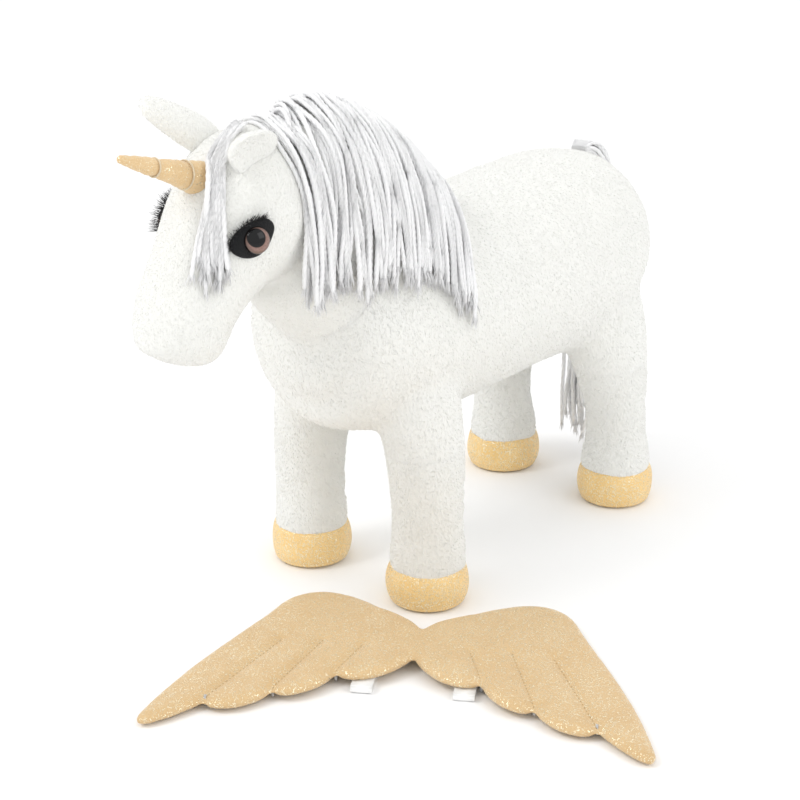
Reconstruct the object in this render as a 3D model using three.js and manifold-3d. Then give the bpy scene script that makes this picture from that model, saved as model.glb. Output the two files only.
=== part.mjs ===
// A stuffed toy unicorn that stands on four firm legs, with a removable pair of padded wings that lie
// in front of it.
// Millimetres, +Z up. The nose points to -Y and the animal's left side to +X.
// The origin is the middle of the whole set's footprint, on the surface it stands on.
import * as THREE from "three";
import { ConvexGeometry } from "three/addons/geometries/ConvexGeometry.js";
import { mergeVertices } from "three/addons/utils/BufferGeometryUtils.js";
import Module from "manifold-3d";

const wasm = await Module();
wasm.setup();

// ---- Driving dimensions ----
const WHEELBASE = 248; // between the centres of the front and the rear hooves
const TRACK = 118; // between the centres of the left and the right hooves
const HIP_HEIGHT = 165; // from the ground to the middle of the hips
const HIP_INSET = 12; // how far the hips sit inside the hooves
const BODY_WIDTH = 160;
const BODY_HEIGHT = 161;
const BODY_RISE = 44; // the middle of the body above the hips
const NECK_REACH = 108; // from over the front hooves forward to the poll
const NECK_RISE = 121; // from the middle of the body up to the poll
const NECK_WIDTH = 140;
const NECK_DEPTH = 164;
const HEAD_LENGTH = 100;
const HEAD_WIDTH = 90;
const HOOF_RADIUS = 30.5;
const HOOF_HEIGHT = 28;
const FRONT_LEG_RADIUS = 26.5;
const REAR_LEG_RADIUS = 25;
const SHOULDER_DEPTH = 36; // half of the front leg's top, fore and aft
const HAUNCH_DEPTH = 46; // the same of the rear leg
const HIP_WIDTH = 28; // half of a leg's top, side to side
const HORN_LENGTH = 92;
const HORN_RADIUS = 13.5;
const HORN_TILT = 21; // degrees above level
const EAR_LENGTH = 61;
const EAR_WIDTH = 36;
const EYE_RADIUS = 9;
const EYE_HEIGHT = 5.5;
const TAIL_WIDTH = 34;
const TAIL_THICKNESS = 14;
const TAIL_CLEARANCE = 10; // between the tail's ends and the ground
const WING_SPAN = 344;
const WING_LENGTH = 206; // along the animal, from the wings' top to their tips
const WING_THICKNESS = 9;
const WING_ARCH = 8; // the height of the middle seam over the tips
const WING_TURN = 31.5; // degrees about the vertical
const WING_AHEAD = 62; // from the front hooves' centres forward to the wings' middle
const WING_ASIDE = 104; // from the animal's middle plane to the wings' middle
const BAND_WIDTH = 15;
const BAND_THICKNESS = 1;
const BAND_PLACES = { left: 40, right: -31 }; // from the middle seam
const FABRIC = 1.5; // the cover, with its pile
const FELT = 1;
const YARN_DEPTH = 8; // how thick the yarn lies on the neck and the forehead
const CLOTH = 0.8; // the wings' cloth
const ROD_RADIUS = 2;
const BOARD = 2; // the stiff board in each hoof
const GAP = 0.3; // between pieces that touch
const SWING = 0.6; // around pieces that move

// How far each joint moves, in degrees.
const LEG_SWING = 8;
const NOD = 9;
const EAR_BEND = 20;

// ---- Places that follow from them ----
const FRONT = -WHEELBASE / 2;
const REAR = WHEELBASE / 2;
const BODY_Z = HIP_HEIGHT + BODY_RISE;
const POLL = new THREE.Vector3(0, FRONT - NECK_REACH, BODY_Z + NECK_RISE);
const SIDES = [["left", 1], ["right", -1]];
const ENDS = [
  ["front", FRONT, FRONT_LEG_RADIUS, SHOULDER_DEPTH, 0],
  ["rear", REAR, REAR_LEG_RADIUS, HAUNCH_DEPTH, 9],
];
const onHead = (forward, down, side = 0) =>
  new THREE.Vector3(side * HEAD_WIDTH, POLL.y - forward * HEAD_LENGTH, POLL.z - down * HEAD_LENGTH);
const NECK_PIVOT = onHead(0.14, 0.09);
const X_AXIS = new THREE.Vector3(1, 0, 0);
const Y_AXIS = new THREE.Vector3(0, 1, 0);

// ---- Materials ----
const finish = (color, roughness, metalness = 0) =>
  new THREE.MeshStandardMaterial({ color, roughness, metalness });
const PLUSH = finish(0xf2f1ec, 0.95);
const WADDING = finish(0xe9e6df, 1);
const YARN = finish(0xdcdcda, 0.95);
const GOLD = finish(0xdcc08c, 0.55, 0.2);
const GOLD_THREAD = finish(0xd8b06a, 0.5, 0.2);
const BLACK_FELT = finish(0x25272a, 0.95);
const LASH = finish(0x151515, 0.7);
const EYE = finish(0x1a1413, 0.08);
const PLASTIC = finish(0xe8e8e6, 0.5);
const BOARDS = finish(0xb59f80, 0.8);
const ELASTIC = finish(0xf6f6f4, 0.8);

// ---- Solids ----
// A closed skin of elliptical rings. A station is [x, y, z, half width, half depth]. Each ring stands
// square to the line through the stations, and grow moves the whole skin outwards.
class RingLoftGeometry extends THREE.BufferGeometry {
  constructor(stations, sides, grow = 0) {
    super();
    const spine = stations.map(([x, y, z]) => new THREE.Vector3(x, y, z));
    const last = spine.length - 1;
    const along = spine.map((_, k) =>
      spine[Math.min(k + 1, last)].clone().sub(spine[Math.max(k - 1, 0)]).normalize());
    const points = [];
    spine.forEach((centre, k) => {
      const across = X_AXIS.clone().addScaledVector(along[k], -X_AXIS.dot(along[k])).normalize();
      const up = new THREE.Vector3().crossVectors(along[k], across);
      const push = k === 0 ? -grow : k === last ? grow : 0;
      const middle = centre.clone().addScaledVector(along[k], push);
      for (let i = 0; i < sides; i++) {
        const turn = (2 * Math.PI * i) / sides;
        points.push(middle.clone()
          .addScaledVector(across, Math.cos(turn) * (stations[k][3] + grow))
          .addScaledVector(up, Math.sin(turn) * (stations[k][4] + grow)));
      }
    });
    const index = [];
    for (let k = 0; k < last; k++) {
      for (let i = 0; i < sides; i++) {
        const [a, b] = [k * sides + i, k * sides + ((i + 1) % sides)];
        index.push(a, b, b + sides, a, b + sides, a + sides);
      }
    }
    for (let i = 1; i < sides - 1; i++) {
      const end = last * sides;
      index.push(0, i + 1, i, end, end + i, end + i + 1);
    }
    this.setFromPoints(points);
    this.setIndex(index);
  }
}

function solid(geometry) {
  const bare = new THREE.BufferGeometry();
  bare.setAttribute("position", geometry.getAttribute("position").clone());
  bare.setIndex(geometry.index ? geometry.index.clone() : null);
  const merged = mergeVertices(bare, 1e-4);
  const mesh = new wasm.Mesh({
    numProp: 3,
    vertProperties: merged.attributes.position.array,
    triVerts: new Uint32Array(merged.index.array),
  });
  return new wasm.Manifold(mesh);
}

const join = (...solids) => solids.reduce((all, one) => all.add(one));
const cut = (from, ...tools) => tools.reduce((left, tool) => left.subtract(tool), from);
const above = (one, z) => one.trimByPlane([0, 0, 1], z);
const below = (one, z) => one.trimByPlane([0, 0, -1], -z);
const halfOf = (one, side) => one.trimByPlane([side, 0, 0], GAP / 2);
const whole = (one) => one.decompose().sort((a, b) => b.volume() - a.volume())[0];

function geometryOf(one) {
  const mesh = one.getMesh();
  const geometry = new THREE.BufferGeometry();
  geometry.setAttribute("position", new THREE.BufferAttribute(new Float32Array(mesh.vertProperties), 3));
  geometry.setIndex(new THREE.BufferAttribute(new Uint32Array(mesh.triVerts), 1));
  return geometry;
}

function placed(geometry, position, direction = Y_AXIS) {
  const turn = new THREE.Quaternion().setFromUnitVectors(Y_AXIS, direction.clone().normalize());
  return geometry.applyQuaternion(turn).translate(position.x, position.y, position.z);
}

// A turned piece: its outline is [radius, height along the way], from the axis and back to it.
const turned = (outline, sides, position, way) => {
  const points = outline.map(([radius, height]) => new THREE.Vector2(radius, height));
  return solid(placed(new THREE.LatheGeometry(points, sides), position, way));
};
const upright = (radius, low, high, x, y, sides = 12) => solid(
  new THREE.CylinderGeometry(radius, radius, high - low, sides)
    .rotateX(Math.PI / 2)
    .translate(x, y, (low + high) / 2));
const ellipsoid = (centre, rx, ry, rz, sides) => solid(
  new THREE.SphereGeometry(1, sides, sides / 2)
    .scale(rx, ry, rz)
    .translate(centre.x, centre.y, centre.z));

// The convex room that a piece takes up as it turns about X, so many degrees each way.
const SWEEP_STEPS = 4;
function roomOf(one, pivot, degrees) {
  const { vertProperties } = one.getMesh();
  const points = [];
  for (let step = 0; step <= SWEEP_STEPS; step++) {
    const turn = THREE.MathUtils.degToRad(degrees * ((2 * step) / SWEEP_STEPS - 1));
    for (let k = 0; k < vertProperties.length; k += 3) {
      const point = new THREE.Vector3().fromArray(vertProperties, k);
      points.push(point.sub(pivot).applyAxisAngle(X_AXIS, turn).add(pivot));
    }
  }
  return solid(new ConvexGeometry(points));
}

const unicorn = new THREE.Group();

function add(name, one, material, parent = unicorn) {
  const mesh = new THREE.Mesh(geometryOf(whole(one)), material);
  mesh.name = name;
  parent.add(mesh);
  return mesh;
}

// ---- Trunk: the body and the neck ----
const BODY = [ // [from the nearer hooves, rise, share of half the width, share of half the height]
  [FRONT - 74, 7, 0.1, 0.1], [FRONT - 68, 7, 0.53, 0.57], [FRONT - 52, 7, 0.8, 0.85],
  [FRONT - 8, 1, 0.96, 1], [FRONT / 2, -1, 0.99, 1], [0, 0, 1, 1], [REAR / 2, 2, 1.01, 1.01],
  [REAR - 19, 2, 0.99, 1.01], [REAR + 14, -5, 0.89, 0.94], [REAR + 36, -12, 0.67, 0.73],
  [REAR + 47, -16, 0.34, 0.41], [REAR + 50, -18, 0.1, 0.1],
].map(([y, rise, width, height]) =>
  [0, y, BODY_Z + rise, (width * BODY_WIDTH) / 2, (height * BODY_HEIGHT) / 2]);
const NECK = [ // [share of the reach, share of the rise, share of half the width, share of half the depth]
  [-0.26, 0.05, 1, 0.9], [-0.06, 0.3, 1, 1], [0.24, 0.58, 0.89, 1], [0.5, 0.77, 0.77, 0.95],
  [0.72, 0.91, 0.67, 0.8], [0.96, 0.98, 0.6, 0.63],
].map(([reach, rise, width, depth]) => {
  const [y, z] = [FRONT - reach * NECK_REACH, BODY_Z + rise * NECK_RISE];
  return [0, y, z, (width * NECK_WIDTH) / 2, (depth * NECK_DEPTH) / 2];
});
const trunk = (grow) => join(
  solid(new RingLoftGeometry(BODY, 12, grow)),
  solid(new RingLoftGeometry(NECK, 12, grow)));

// ---- Legs ----
const hip = (side, end) => new THREE.Vector3(side * (TRACK / 2 - HIP_INSET), end[1] - end[4], HIP_HEIGHT);
function legStations(side, [, y, radius, depth, lean]) {
  const x = (side * TRACK) / 2;
  const thigh = (share, inset, width, deep) => {
    const z = HOOF_HEIGHT + share * (HIP_HEIGHT - HOOF_HEIGHT);
    return [x - side * inset * HIP_INSET, y - inset * lean, z, width, deep];
  };
  return [
    [x, y, 0, HOOF_RADIUS - 4, HOOF_RADIUS - 4],
    [x, y, 4, HOOF_RADIUS - 1, HOOF_RADIUS - 1],
    [x, y, HOOF_HEIGHT / 2, HOOF_RADIUS, HOOF_RADIUS],
    thigh(0, 0, HOOF_RADIUS - 1.5, HOOF_RADIUS - 1.5),
    thigh(0.1, 0, HOOF_RADIUS - 2, HOOF_RADIUS - 2),
    thigh(0.22, 0, radius, radius),
    thigh(0.42, 0, radius, 0.9 * radius + 0.1 * depth),
    thigh(0.7, 0.3, (radius + HIP_WIDTH) / 2, 0.4 * radius + 0.6 * depth),
    thigh(1, 1, HIP_WIDTH, depth),
  ];
}
// The round top of a leg, from the hip's level up to nearly its pole.
const BALL_RINGS = [22, 44, 64, 80]; // degrees above the hip's level
const ballStations = (side, end) => BALL_RINGS.map((degrees) => {
  const centre = hip(side, end);
  const turn = THREE.MathUtils.degToRad(degrees);
  const wide = Math.cos(turn);
  return [centre.x, centre.y, centre.z + Math.sin(turn) * end[3], wide * HIP_WIDTH, wide * end[3]];
});
const leg = (side, end, grow) =>
  solid(new RingLoftGeometry([...legStations(side, end), ...ballStations(side, end)], 10, grow));
const everyLeg = ENDS.flatMap((end) => SIDES.map((side) => [end, side]));
const legRoom = join(...everyLeg.map(([end, [, side]]) => {
  const stations = legStations(side, end).slice(-2);
  const low = [...stations[0]];
  low[2] = 0.6 * HIP_HEIGHT;
  const top = solid(new RingLoftGeometry([low, ...stations, ...ballStations(side, end)], 10, SWING));
  return roomOf(top, hip(side, end), LEG_SWING);
}));

for (const [end, [sideName, side]] of everyLeg) {
  const name = `${end[0]}_${sideName}`;
  const [x, y] = [(side * TRACK) / 2, end[1]];
  const soleRadius = HOOF_RADIUS - 4 - FABRIC - GAP;
  const boardTop = FABRIC + GAP + BOARD;
  const rodTop = HIP_HEIGHT - HOOF_RADIUS / 2;
  const soleHole = upright(soleRadius + GAP, -1, boardTop + 6, x, y);
  const skin = cut(leg(side, end, 0), leg(side, end, -FABRIC), soleHole);
  const filling = above(leg(side, end, -FABRIC - GAP), boardTop + GAP);
  add(`leg_filling_${name}`, cut(filling, upright(ROD_RADIUS + GAP, 0, rodTop + GAP, x, y)), WADDING);
  add(`leg_cover_${name}`, above(skin, HOOF_HEIGHT + GAP / 2), PLUSH);
  add(`hoof_cover_${name}`, above(below(skin, HOOF_HEIGHT - GAP / 2), GAP), GOLD);
  add(`hoof_sole_${name}`, upright(soleRadius, 0, FABRIC, x, y), GOLD);
  add(`sole_board_${name}`, upright(soleRadius, FABRIC + GAP, boardTop, x, y), BOARDS);
  add(`leg_rod_${name}`, upright(ROD_RADIUS, boardTop + 2 * GAP, rodTop, x, y), PLASTIC);
}

// ---- Head ----
const HEAD = [ // [forward, down, share of half the width, share of half the depth]
  [0.06, -0.06, 0.7, 0.8], [0.16, 0.02, 0.9, 0.97], [0.36, 0.22, 0.91, 0.98],
  [0.59, 0.48, 0.76, 0.82], [0.74, 0.67, 0.73, 0.75], [0.81, 0.83, 0.69, 0.7], [0.85, 0.96, 0.53, 0.56],
  [0.87, 1.02, 0.18, 0.18],
].map(([forward, down, width, depth]) =>
  [...onHead(forward, down).toArray(), (width * HEAD_WIDTH) / 2, (depth * HEAD_WIDTH) / 2]);
const CRANIUM = 1.22; // its height and length as a share of the head's width
const cranium = (grow) => {
  const tall = (CRANIUM * HEAD_WIDTH) / 2 + grow;
  return ellipsoid(NECK_PIVOT, HEAD_WIDTH / 2 + grow, tall, tall, 12);
};
const skull = (grow) => join(solid(new RingLoftGeometry(HEAD, 12, grow)), cranium(grow));

// Ears: two layers of plush that bend at a round root.
const earRoot = (side) => onHead(0.22, -0.32, side * 0.28);
const EAR = [ // [share of the length, share of the width]
  [-0.12, 0.56], [0, 0.83], [0.19, 1], [0.44, 0.89], [0.69, 0.61], [0.87, 0.42], [0.97, 0.28], [1, 0.11],
];
const earWay = (side) => new THREE.Vector3(side * 0.35, -0.74, 0.54).normalize();
const earStations = (side) => EAR.map(([share, width]) => {
  const at = earRoot(side).addScaledVector(earWay(side), share * EAR_LENGTH);
  return [at.x, at.y, at.z, (width * EAR_WIDTH) / 2, (width * EAR_WIDTH) / 2 - 1.5];
});
const ear = (side, grow) => {
  const ball = 0.37 * EAR_WIDTH + grow;
  return join(
    solid(new RingLoftGeometry(earStations(side), 8, grow)),
    ellipsoid(earRoot(side), ball, ball, ball, 8));
};
const earRoom = join(...SIDES.map(([, side]) => roomOf(ear(side, SWING), earRoot(side), EAR_BEND)));
for (const [sideName, side] of SIDES) {
  const lift = new THREE.Vector3().crossVectors(X_AXIS, earWay(side)).normalize().negate();
  const level = earRoot(side).dot(lift);
  const both = ear(side, 0);
  add(`ear_back_${sideName}`, both.trimByPlane(lift.toArray(), level + GAP / 2), PLUSH);
  add(`ear_lining_${sideName}`, both.trimByPlane(lift.clone().negate().toArray(), -level + GAP / 2), PLUSH);
}

// Horn: a stuffed cone with two turns of thread.
const hornTurn = THREE.MathUtils.degToRad(HORN_TILT);
const HORN_WAY = new THREE.Vector3(0, -Math.cos(hornTurn), Math.sin(hornTurn));
const HORN_BASE = onHead(0.4, -0.12);
const HORN_TIP_RADIUS = 2;
const THREAD_RADIUS = 0.6;
const hornRadius = (share) => HORN_RADIUS + (HORN_TIP_RADIUS - HORN_RADIUS) * share;
const horn = (grow, from = 0) => {
  const foot = from < 0 ? [[hornRadius(0) + grow, from]] : [];
  return turned([
    [0, from], ...foot, [hornRadius(0) + grow, 0], [hornRadius(0.97) + grow, 0.97 * HORN_LENGTH + grow],
    [(hornRadius(1) + grow) / 2, HORN_LENGTH + grow], [0, HORN_LENGTH + grow],
  ], 12, HORN_BASE, HORN_WAY);
};
add("horn_cover", cut(horn(0), horn(-CLOTH, -1)), GOLD);
add("horn_filling", horn(-CLOTH - GAP), WADDING);
for (const [name, share] of [["near", 0.34], ["far", 0.64]]) {
  const ring = Array.from({ length: 5 }, (_, k) => [
    hornRadius(share) + GAP + THREAD_RADIUS * (1.6 + Math.cos((k * Math.PI) / 2)),
    share * HORN_LENGTH + THREAD_RADIUS * Math.sin((k * Math.PI) / 2),
  ]);
  add(`horn_thread_${name}`, turned(ring, 12, HORN_BASE, HORN_WAY), GOLD_THREAD);
}

// Eyes: a domed button on a shank, a washer that locks it inside, a felt patch behind it and a row
// of lashes.
const SHANK_RADIUS = 2.2;
const SHANK_LENGTH = 15;
const WASHER_DEPTH = 9;
const eyeAt = (side) => onHead(0.48, 0.173, side * 0.463);
const eyeWay = (side) => new THREE.Vector3(side * 0.9, -0.38, 0.2).normalize();
const button = (side, grow) => {
  const rim = EYE_RADIUS + grow;
  return turned([
    [0, -SHANK_LENGTH - grow], [SHANK_RADIUS + grow, -SHANK_LENGTH - grow],
    [SHANK_RADIUS + grow, -grow], [rim, -grow], [rim, 0.8 + grow],
    [0.82 * rim, 0.6 * EYE_HEIGHT + grow], [0.45 * rim, 0.93 * EYE_HEIGHT + grow], [0, EYE_HEIGHT + grow],
  ], 12, eyeAt(side), eyeWay(side));
};
const washer = (side, grow) => {
  const [bore, rim] = [SHANK_RADIUS + GAP - grow, EYE_RADIUS - 1 + grow];
  const [low, high] = [-WASHER_DEPTH - 1 - grow, -WASHER_DEPTH + grow];
  const outline = [[bore, low], [rim, low], [rim, high], [bore, high], [bore, low]];
  return turned(outline, 8, eyeAt(side), eyeWay(side));
};
// An almond outline that runs from the inner corner, low and forward, to the outer corner, high and back.
function almond(side, grow, tall) {
  const [a, b] = [1.85 * EYE_RADIUS + grow, 1.25 * EYE_RADIUS + grow];
  const outline = new THREE.Shape();
  outline.moveTo(-a, 0);
  outline.quadraticCurveTo(-a * 0.2, b * 1.5, a, b * 0.5);
  outline.quadraticCurveTo(a * 0.5, -b * 1.4, -a, 0);
  const plate = new THREE.ExtrudeGeometry(outline, { depth: tall, bevelEnabled: false, curveSegments: 3 });
  const across = new THREE.Vector3(0, 0.82, 0.5).normalize();
  const up = new THREE.Vector3().crossVectors(eyeWay(side), across).multiplyScalar(side).normalize();
  const level = new THREE.Vector3().crossVectors(up, eyeWay(side)).multiplyScalar(side).normalize();
  if (side < 0) plate.scale(-1, 1, 1).setIndex(turnedFaces(plate));
  plate.translate(0, 0, -tall / 2);
  const x = level.multiplyScalar(side);
  plate.applyMatrix4(new THREE.Matrix4().makeBasis(x, up, eyeWay(side)).setPosition(eyeAt(side)));
  return solid(plate);
}
function turnedFaces(geometry) {
  const count = geometry.getAttribute("position").count;
  return Array.from({ length: count }, (_, k) => (k % 3 === 0 ? k : k % 3 === 1 ? k + 1 : k - 1));
}
const LASH_REACH = 4; // how far the lashes stand out past the patch
const PATCH_TOOL = 30; // the depth of the tool that cuts a patch's outline
const feltTop = GAP + FELT;
for (const [sideName, side] of SIDES) {
  const patch = almond(side, 0, PATCH_TOOL);
  const wider = almond(side, LASH_REACH, PATCH_TOOL);
  const nearCheek = (low, high) => halfOf(cut(skull(high), skull(low)), side);
  add(`eye_${sideName}`, button(side, 0), EYE);
  add(`eye_washer_${sideName}`, washer(side, 0), PLASTIC);
  const felt = cut(nearCheek(GAP, feltTop).intersect(patch), button(side, GAP));
  add(`felt_patch_${sideName}`, felt, BLACK_FELT);
  const lashBand = nearCheek(feltTop + GAP, feltTop + GAP + FELT);
  const fringe = cut(lashBand.intersect(wider), button(side, GAP + 1));
  add(`lashes_${sideName}`, above(fringe, eyeAt(side).z + 0.6 * EYE_RADIUS), LASH);
}

// Forelock: yarn that falls from between the ears over the left of the forehead, clear of the horn
// and the eye.
const fall = new THREE.Shape([ // [share of the head's width, share of its length down from the poll]
  [-0.1, -0.5], [0.26, -0.42], [0.42, 0.5], [0.3, 0.56], [0.14, 0.52], [0.1, 0], [-0.1, -0.2],
].map(([x, down]) => new THREE.Vector2(x * HEAD_WIDTH, POLL.z - down * HEAD_LENGTH)));
const fallPrism = solid(new THREE.ExtrudeGeometry(fall, { depth: HEAD_LENGTH, bevelEnabled: false })
  .rotateX(Math.PI / 2)
  .translate(0, POLL.y - 0.16 * HEAD_LENGTH, 0));
const hornClearance = horn(2 * GAP + 3 * THREAD_RADIUS, -HORN_LENGTH / 5);
const forelock = cut(skull(YARN_DEPTH + GAP), skull(GAP), hornClearance, earRoom,
  ...SIDES.flatMap(([, side]) => [button(side, GAP), almond(side, LASH_REACH + GAP, PATCH_TOOL)]));
add("forelock_yarn", forelock.intersect(fallPrism), YARN);

const eyeTools = SIDES.flatMap(([, side]) => [button(side, GAP), washer(side, GAP)]);
const headTools = [horn(GAP, -GAP), earRoom, ...eyeTools];
const headSkin = cut(skull(0), skull(-FABRIC), ...headTools);
for (const [sideName, side] of SIDES) {
  add(`head_cover_${sideName}`, halfOf(headSkin, side), PLUSH);
}
add("head_filling", cut(skull(-FABRIC - GAP), ...headTools), WADDING);

// The neck ends in a cup that leaves the head room to nod.
const headRoom = roomOf(skull(SWING), NECK_PIVOT, NOD);
const trunkSkin = cut(trunk(0), trunk(-FABRIC), headRoom, legRoom);
for (const [sideName, side] of SIDES) {
  add(`trunk_cover_${sideName}`, halfOf(trunkSkin, side), PLUSH);
}
add("trunk_filling", cut(trunk(-FABRIC - GAP), headRoom, legRoom), WADDING);

// ---- Mane: a tape sewn along the crest, and the yarn that falls over the left of the neck ----
const TAPE = 1;
const TAPE_WIDTH = 14;
const neckSide = (outline, width) => solid(new THREE.ExtrudeGeometry(
  new THREE.Shape(outline.map(([reach, rise]) =>
    new THREE.Vector2(FRONT - reach * NECK_REACH, BODY_Z + rise * NECK_RISE))),
  { depth: width, bevelEnabled: false }).rotateX(Math.PI / 2).rotateZ(Math.PI / 2));
const CREST = [[0.94, 1.1], [0.88, 1.7], [-0.5, 1.4], [-0.75, 0.68], [-0.4, 0.6], [0.3, 1.1]];
const FALL = [
  [0.95, 1.1], [0.9, 1.7], [-0.5, 1.4], [-0.72, 0.72], [-0.62, 0.05], [-0.3, 0.14], [0.2, 0.3],
  [0.7, 0.2], [0.95, 0.5],
];
const crestZone = neckSide(CREST, TAPE_WIDTH).translate([-TAPE_WIDTH / 2, 0, 0]);
const maneZone = neckSide(FALL, BODY_WIDTH).translate([-TAPE_WIDTH, 0, 0]);
const tapeTop = GAP + TAPE;
const maneTop = tapeTop + GAP + YARN_DEPTH;
const maneBand = cut(trunk(maneTop), trunk(tapeTop + GAP), headRoom, legRoom);
add("mane_tape", cut(trunk(tapeTop), trunk(GAP), headRoom).intersect(crestZone), WADDING);
add("mane_yarn", maneBand.intersect(maneZone), YARN);

// ---- Tail: a round patch on the rump and a hank of yarn that hangs behind ----
const TAIL_ROOT = new THREE.Vector3(0, REAR + 32, BODY_Z + 62);
const tailHalf = [TAIL_WIDTH / 2, TAIL_THICKNESS / 2];
const tailBehind = REAR + 66;
const TAIL = [
  [0, TAIL_ROOT.y, TAIL_ROOT.z, 6, 5], [0, REAR + 44, TAIL_ROOT.z - 2, 12, 6],
  [0, REAR + 56, TAIL_ROOT.z - 14, tailHalf[0] * 0.9, tailHalf[1]],
  [0, tailBehind - 2, TAIL_ROOT.z - 40, ...tailHalf], [0, tailBehind, BODY_Z - 20, ...tailHalf],
  [0, tailBehind, HIP_HEIGHT / 2, tailHalf[0] * 1.06, tailHalf[1]],
  [0, tailBehind - 4, TAIL_CLEARANCE, tailHalf[0] * 0.8, tailHalf[1] * 0.8],
];
add("tail_yarn", cut(solid(new RingLoftGeometry(TAIL, 10)), trunk(tapeTop + SWING)), YARN);
const PATCH_RADIUS = 11;
const patchWay = new THREE.Vector3(0, 0.5, 0.87);
const patchBar = new THREE.CylinderGeometry(PATCH_RADIUS, PATCH_RADIUS, BODY_WIDTH / 2, 10);
const patchZone = solid(placed(patchBar, TAIL_ROOT, patchWay));
add("tail_patch", cut(trunk(tapeTop), trunk(GAP)).intersect(patchZone), PLUSH);

// ---- Wings: two padded panels that meet at a seam, with an elastic band under each ----
const wings = new THREE.Group();
wings.position.set(WING_ASIDE, FRONT - WING_AHEAD, 0);
wings.rotation.z = THREE.MathUtils.degToRad(WING_TURN);
unicorn.add(wings);
const wingTilt = Math.asin(WING_ARCH / (WING_SPAN / 2));

// One wing from the seam outwards: u is a share of half the span and v of the wing's length.
function wingOutline() {
  const at = (u, v) => [u * (WING_SPAN / 2), v * WING_LENGTH];
  const outline = new THREE.Shape();
  outline.moveTo(...at(0, 0.02));
  outline.quadraticCurveTo(...at(0.08, 0.12), ...at(0.2, 0.165));
  outline.bezierCurveTo(...at(0.32, 0.25), ...at(0.54, 0.36), ...at(0.64, 0.16));
  outline.bezierCurveTo(...at(0.7, 0), ...at(0.9, -0.28), ...at(1, -0.66));
  outline.bezierCurveTo(...at(1.01, -0.74), ...at(0.9, -0.68), ...at(0.77, -0.54));
  outline.bezierCurveTo(...at(0.75, -0.61), ...at(0.57, -0.56), ...at(0.52, -0.45));
  outline.bezierCurveTo(...at(0.48, -0.5), ...at(0.33, -0.43), ...at(0.295, -0.315));
  outline.bezierCurveTo(...at(0.24, -0.36), ...at(0.1, -0.35), ...at(0, -0.18));
  return outline;
}
const panel = (side, grow) => {
  const roundness = (WING_THICKNESS - 2) / 2;
  const plate = new THREE.ExtrudeGeometry(wingOutline(), {
    depth: 2, curveSegments: 3, bevelSegments: 1,
    bevelThickness: roundness + grow, bevelSize: roundness, bevelOffset: grow - roundness - GAP / 2,
  });
  plate.translate(0, 0, roundness);
  if (side < 0) plate.scale(-1, 1, 1).setIndex(turnedFaces(plate));
  return solid(plate.rotateY(side * wingTilt).translate(0, 0, WING_ARCH));
};
const floorOf = (one) => one.boundingBox().min[2];
const wingDrop = floorOf(panel(1, 0));
for (const [sideName, side] of SIDES) {
  // The seam between the upper and the under cloth runs round the edge, half way up.
  const up = [side * Math.sin(wingTilt), 0, Math.cos(wingTilt)];
  const seam = (WING_THICKNESS / 2 + WING_ARCH) * Math.cos(wingTilt);
  const down = up.map((value) => -value);
  const cloth = cut(panel(side, 0), panel(side, -CLOTH));
  const lower = (one) => one.translate([0, 0, -wingDrop]);
  add(`wing_top_${sideName}`, lower(cloth.trimByPlane(up, seam + GAP / 2)), GOLD, wings);
  add(`wing_under_${sideName}`, lower(cloth.trimByPlane(down, -seam + GAP / 2)), GOLD, wings);
  add(`wing_wadding_${sideName}`, lower(panel(side, -CLOTH - GAP)), WADDING, wings);
  // The band is a flattened loop between the wing and the ground.
  const bandU = BAND_PLACES[sideName];
  const headroom = WING_ARCH - wingDrop - (Math.abs(bandU) + BAND_WIDTH) * Math.tan(wingTilt) - 2 * GAP;
  const [near, far, r] = [-0.05 * WING_LENGTH, -0.38 * WING_LENGTH, headroom / 2];
  const loop = new THREE.Shape();
  loop.absarc(near, r, r, -Math.PI / 2, Math.PI / 2);
  loop.absarc(far, r, r, Math.PI / 2, 1.5 * Math.PI);
  const inside = new THREE.Path();
  inside.absarc(near, r, r - BAND_THICKNESS, -Math.PI / 2, Math.PI / 2);
  inside.absarc(far, r, r - BAND_THICKNESS, Math.PI / 2, 1.5 * Math.PI);
  loop.holes.push(inside);
  const band = new THREE.ExtrudeGeometry(loop, {
    depth: BAND_WIDTH, bevelEnabled: false, curveSegments: 4,
  });
  band.rotateX(Math.PI / 2).rotateZ(Math.PI / 2).translate(bandU - BAND_WIDTH / 2, 0, GAP);
  add(`elastic_band_${sideName}`, solid(band), ELASTIC, wings);
}

// The origin goes to the middle of the footprint.
unicorn.updateMatrixWorld(true);
const footprint = new THREE.Box3().setFromObject(unicorn, true);
const middle = footprint.getCenter(new THREE.Vector3());
for (const child of unicorn.children) {
  child.position.x -= middle.x;
  child.position.y -= middle.y;
}

export default unicorn;
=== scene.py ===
# %% [markdown]
# # A plush unicorn with gold wings
# The toy is sewn from white short-pile plush over wadding. It has a mane, a forelock and a tail of
# twisted cotton yarn, a stuffed horn, gold hooves, and a pair of quilted gold wings that come off.
# The imported solids are its skeleton: they carry the joints, and most soft pieces made here ride on
# one of their bodies.

# %% Load the frame
import math
import bmesh
import bpy
import numpy as np
from mathutils import Matrix, Vector, noise
from mathutils.bvhtree import BVHTree


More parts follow.
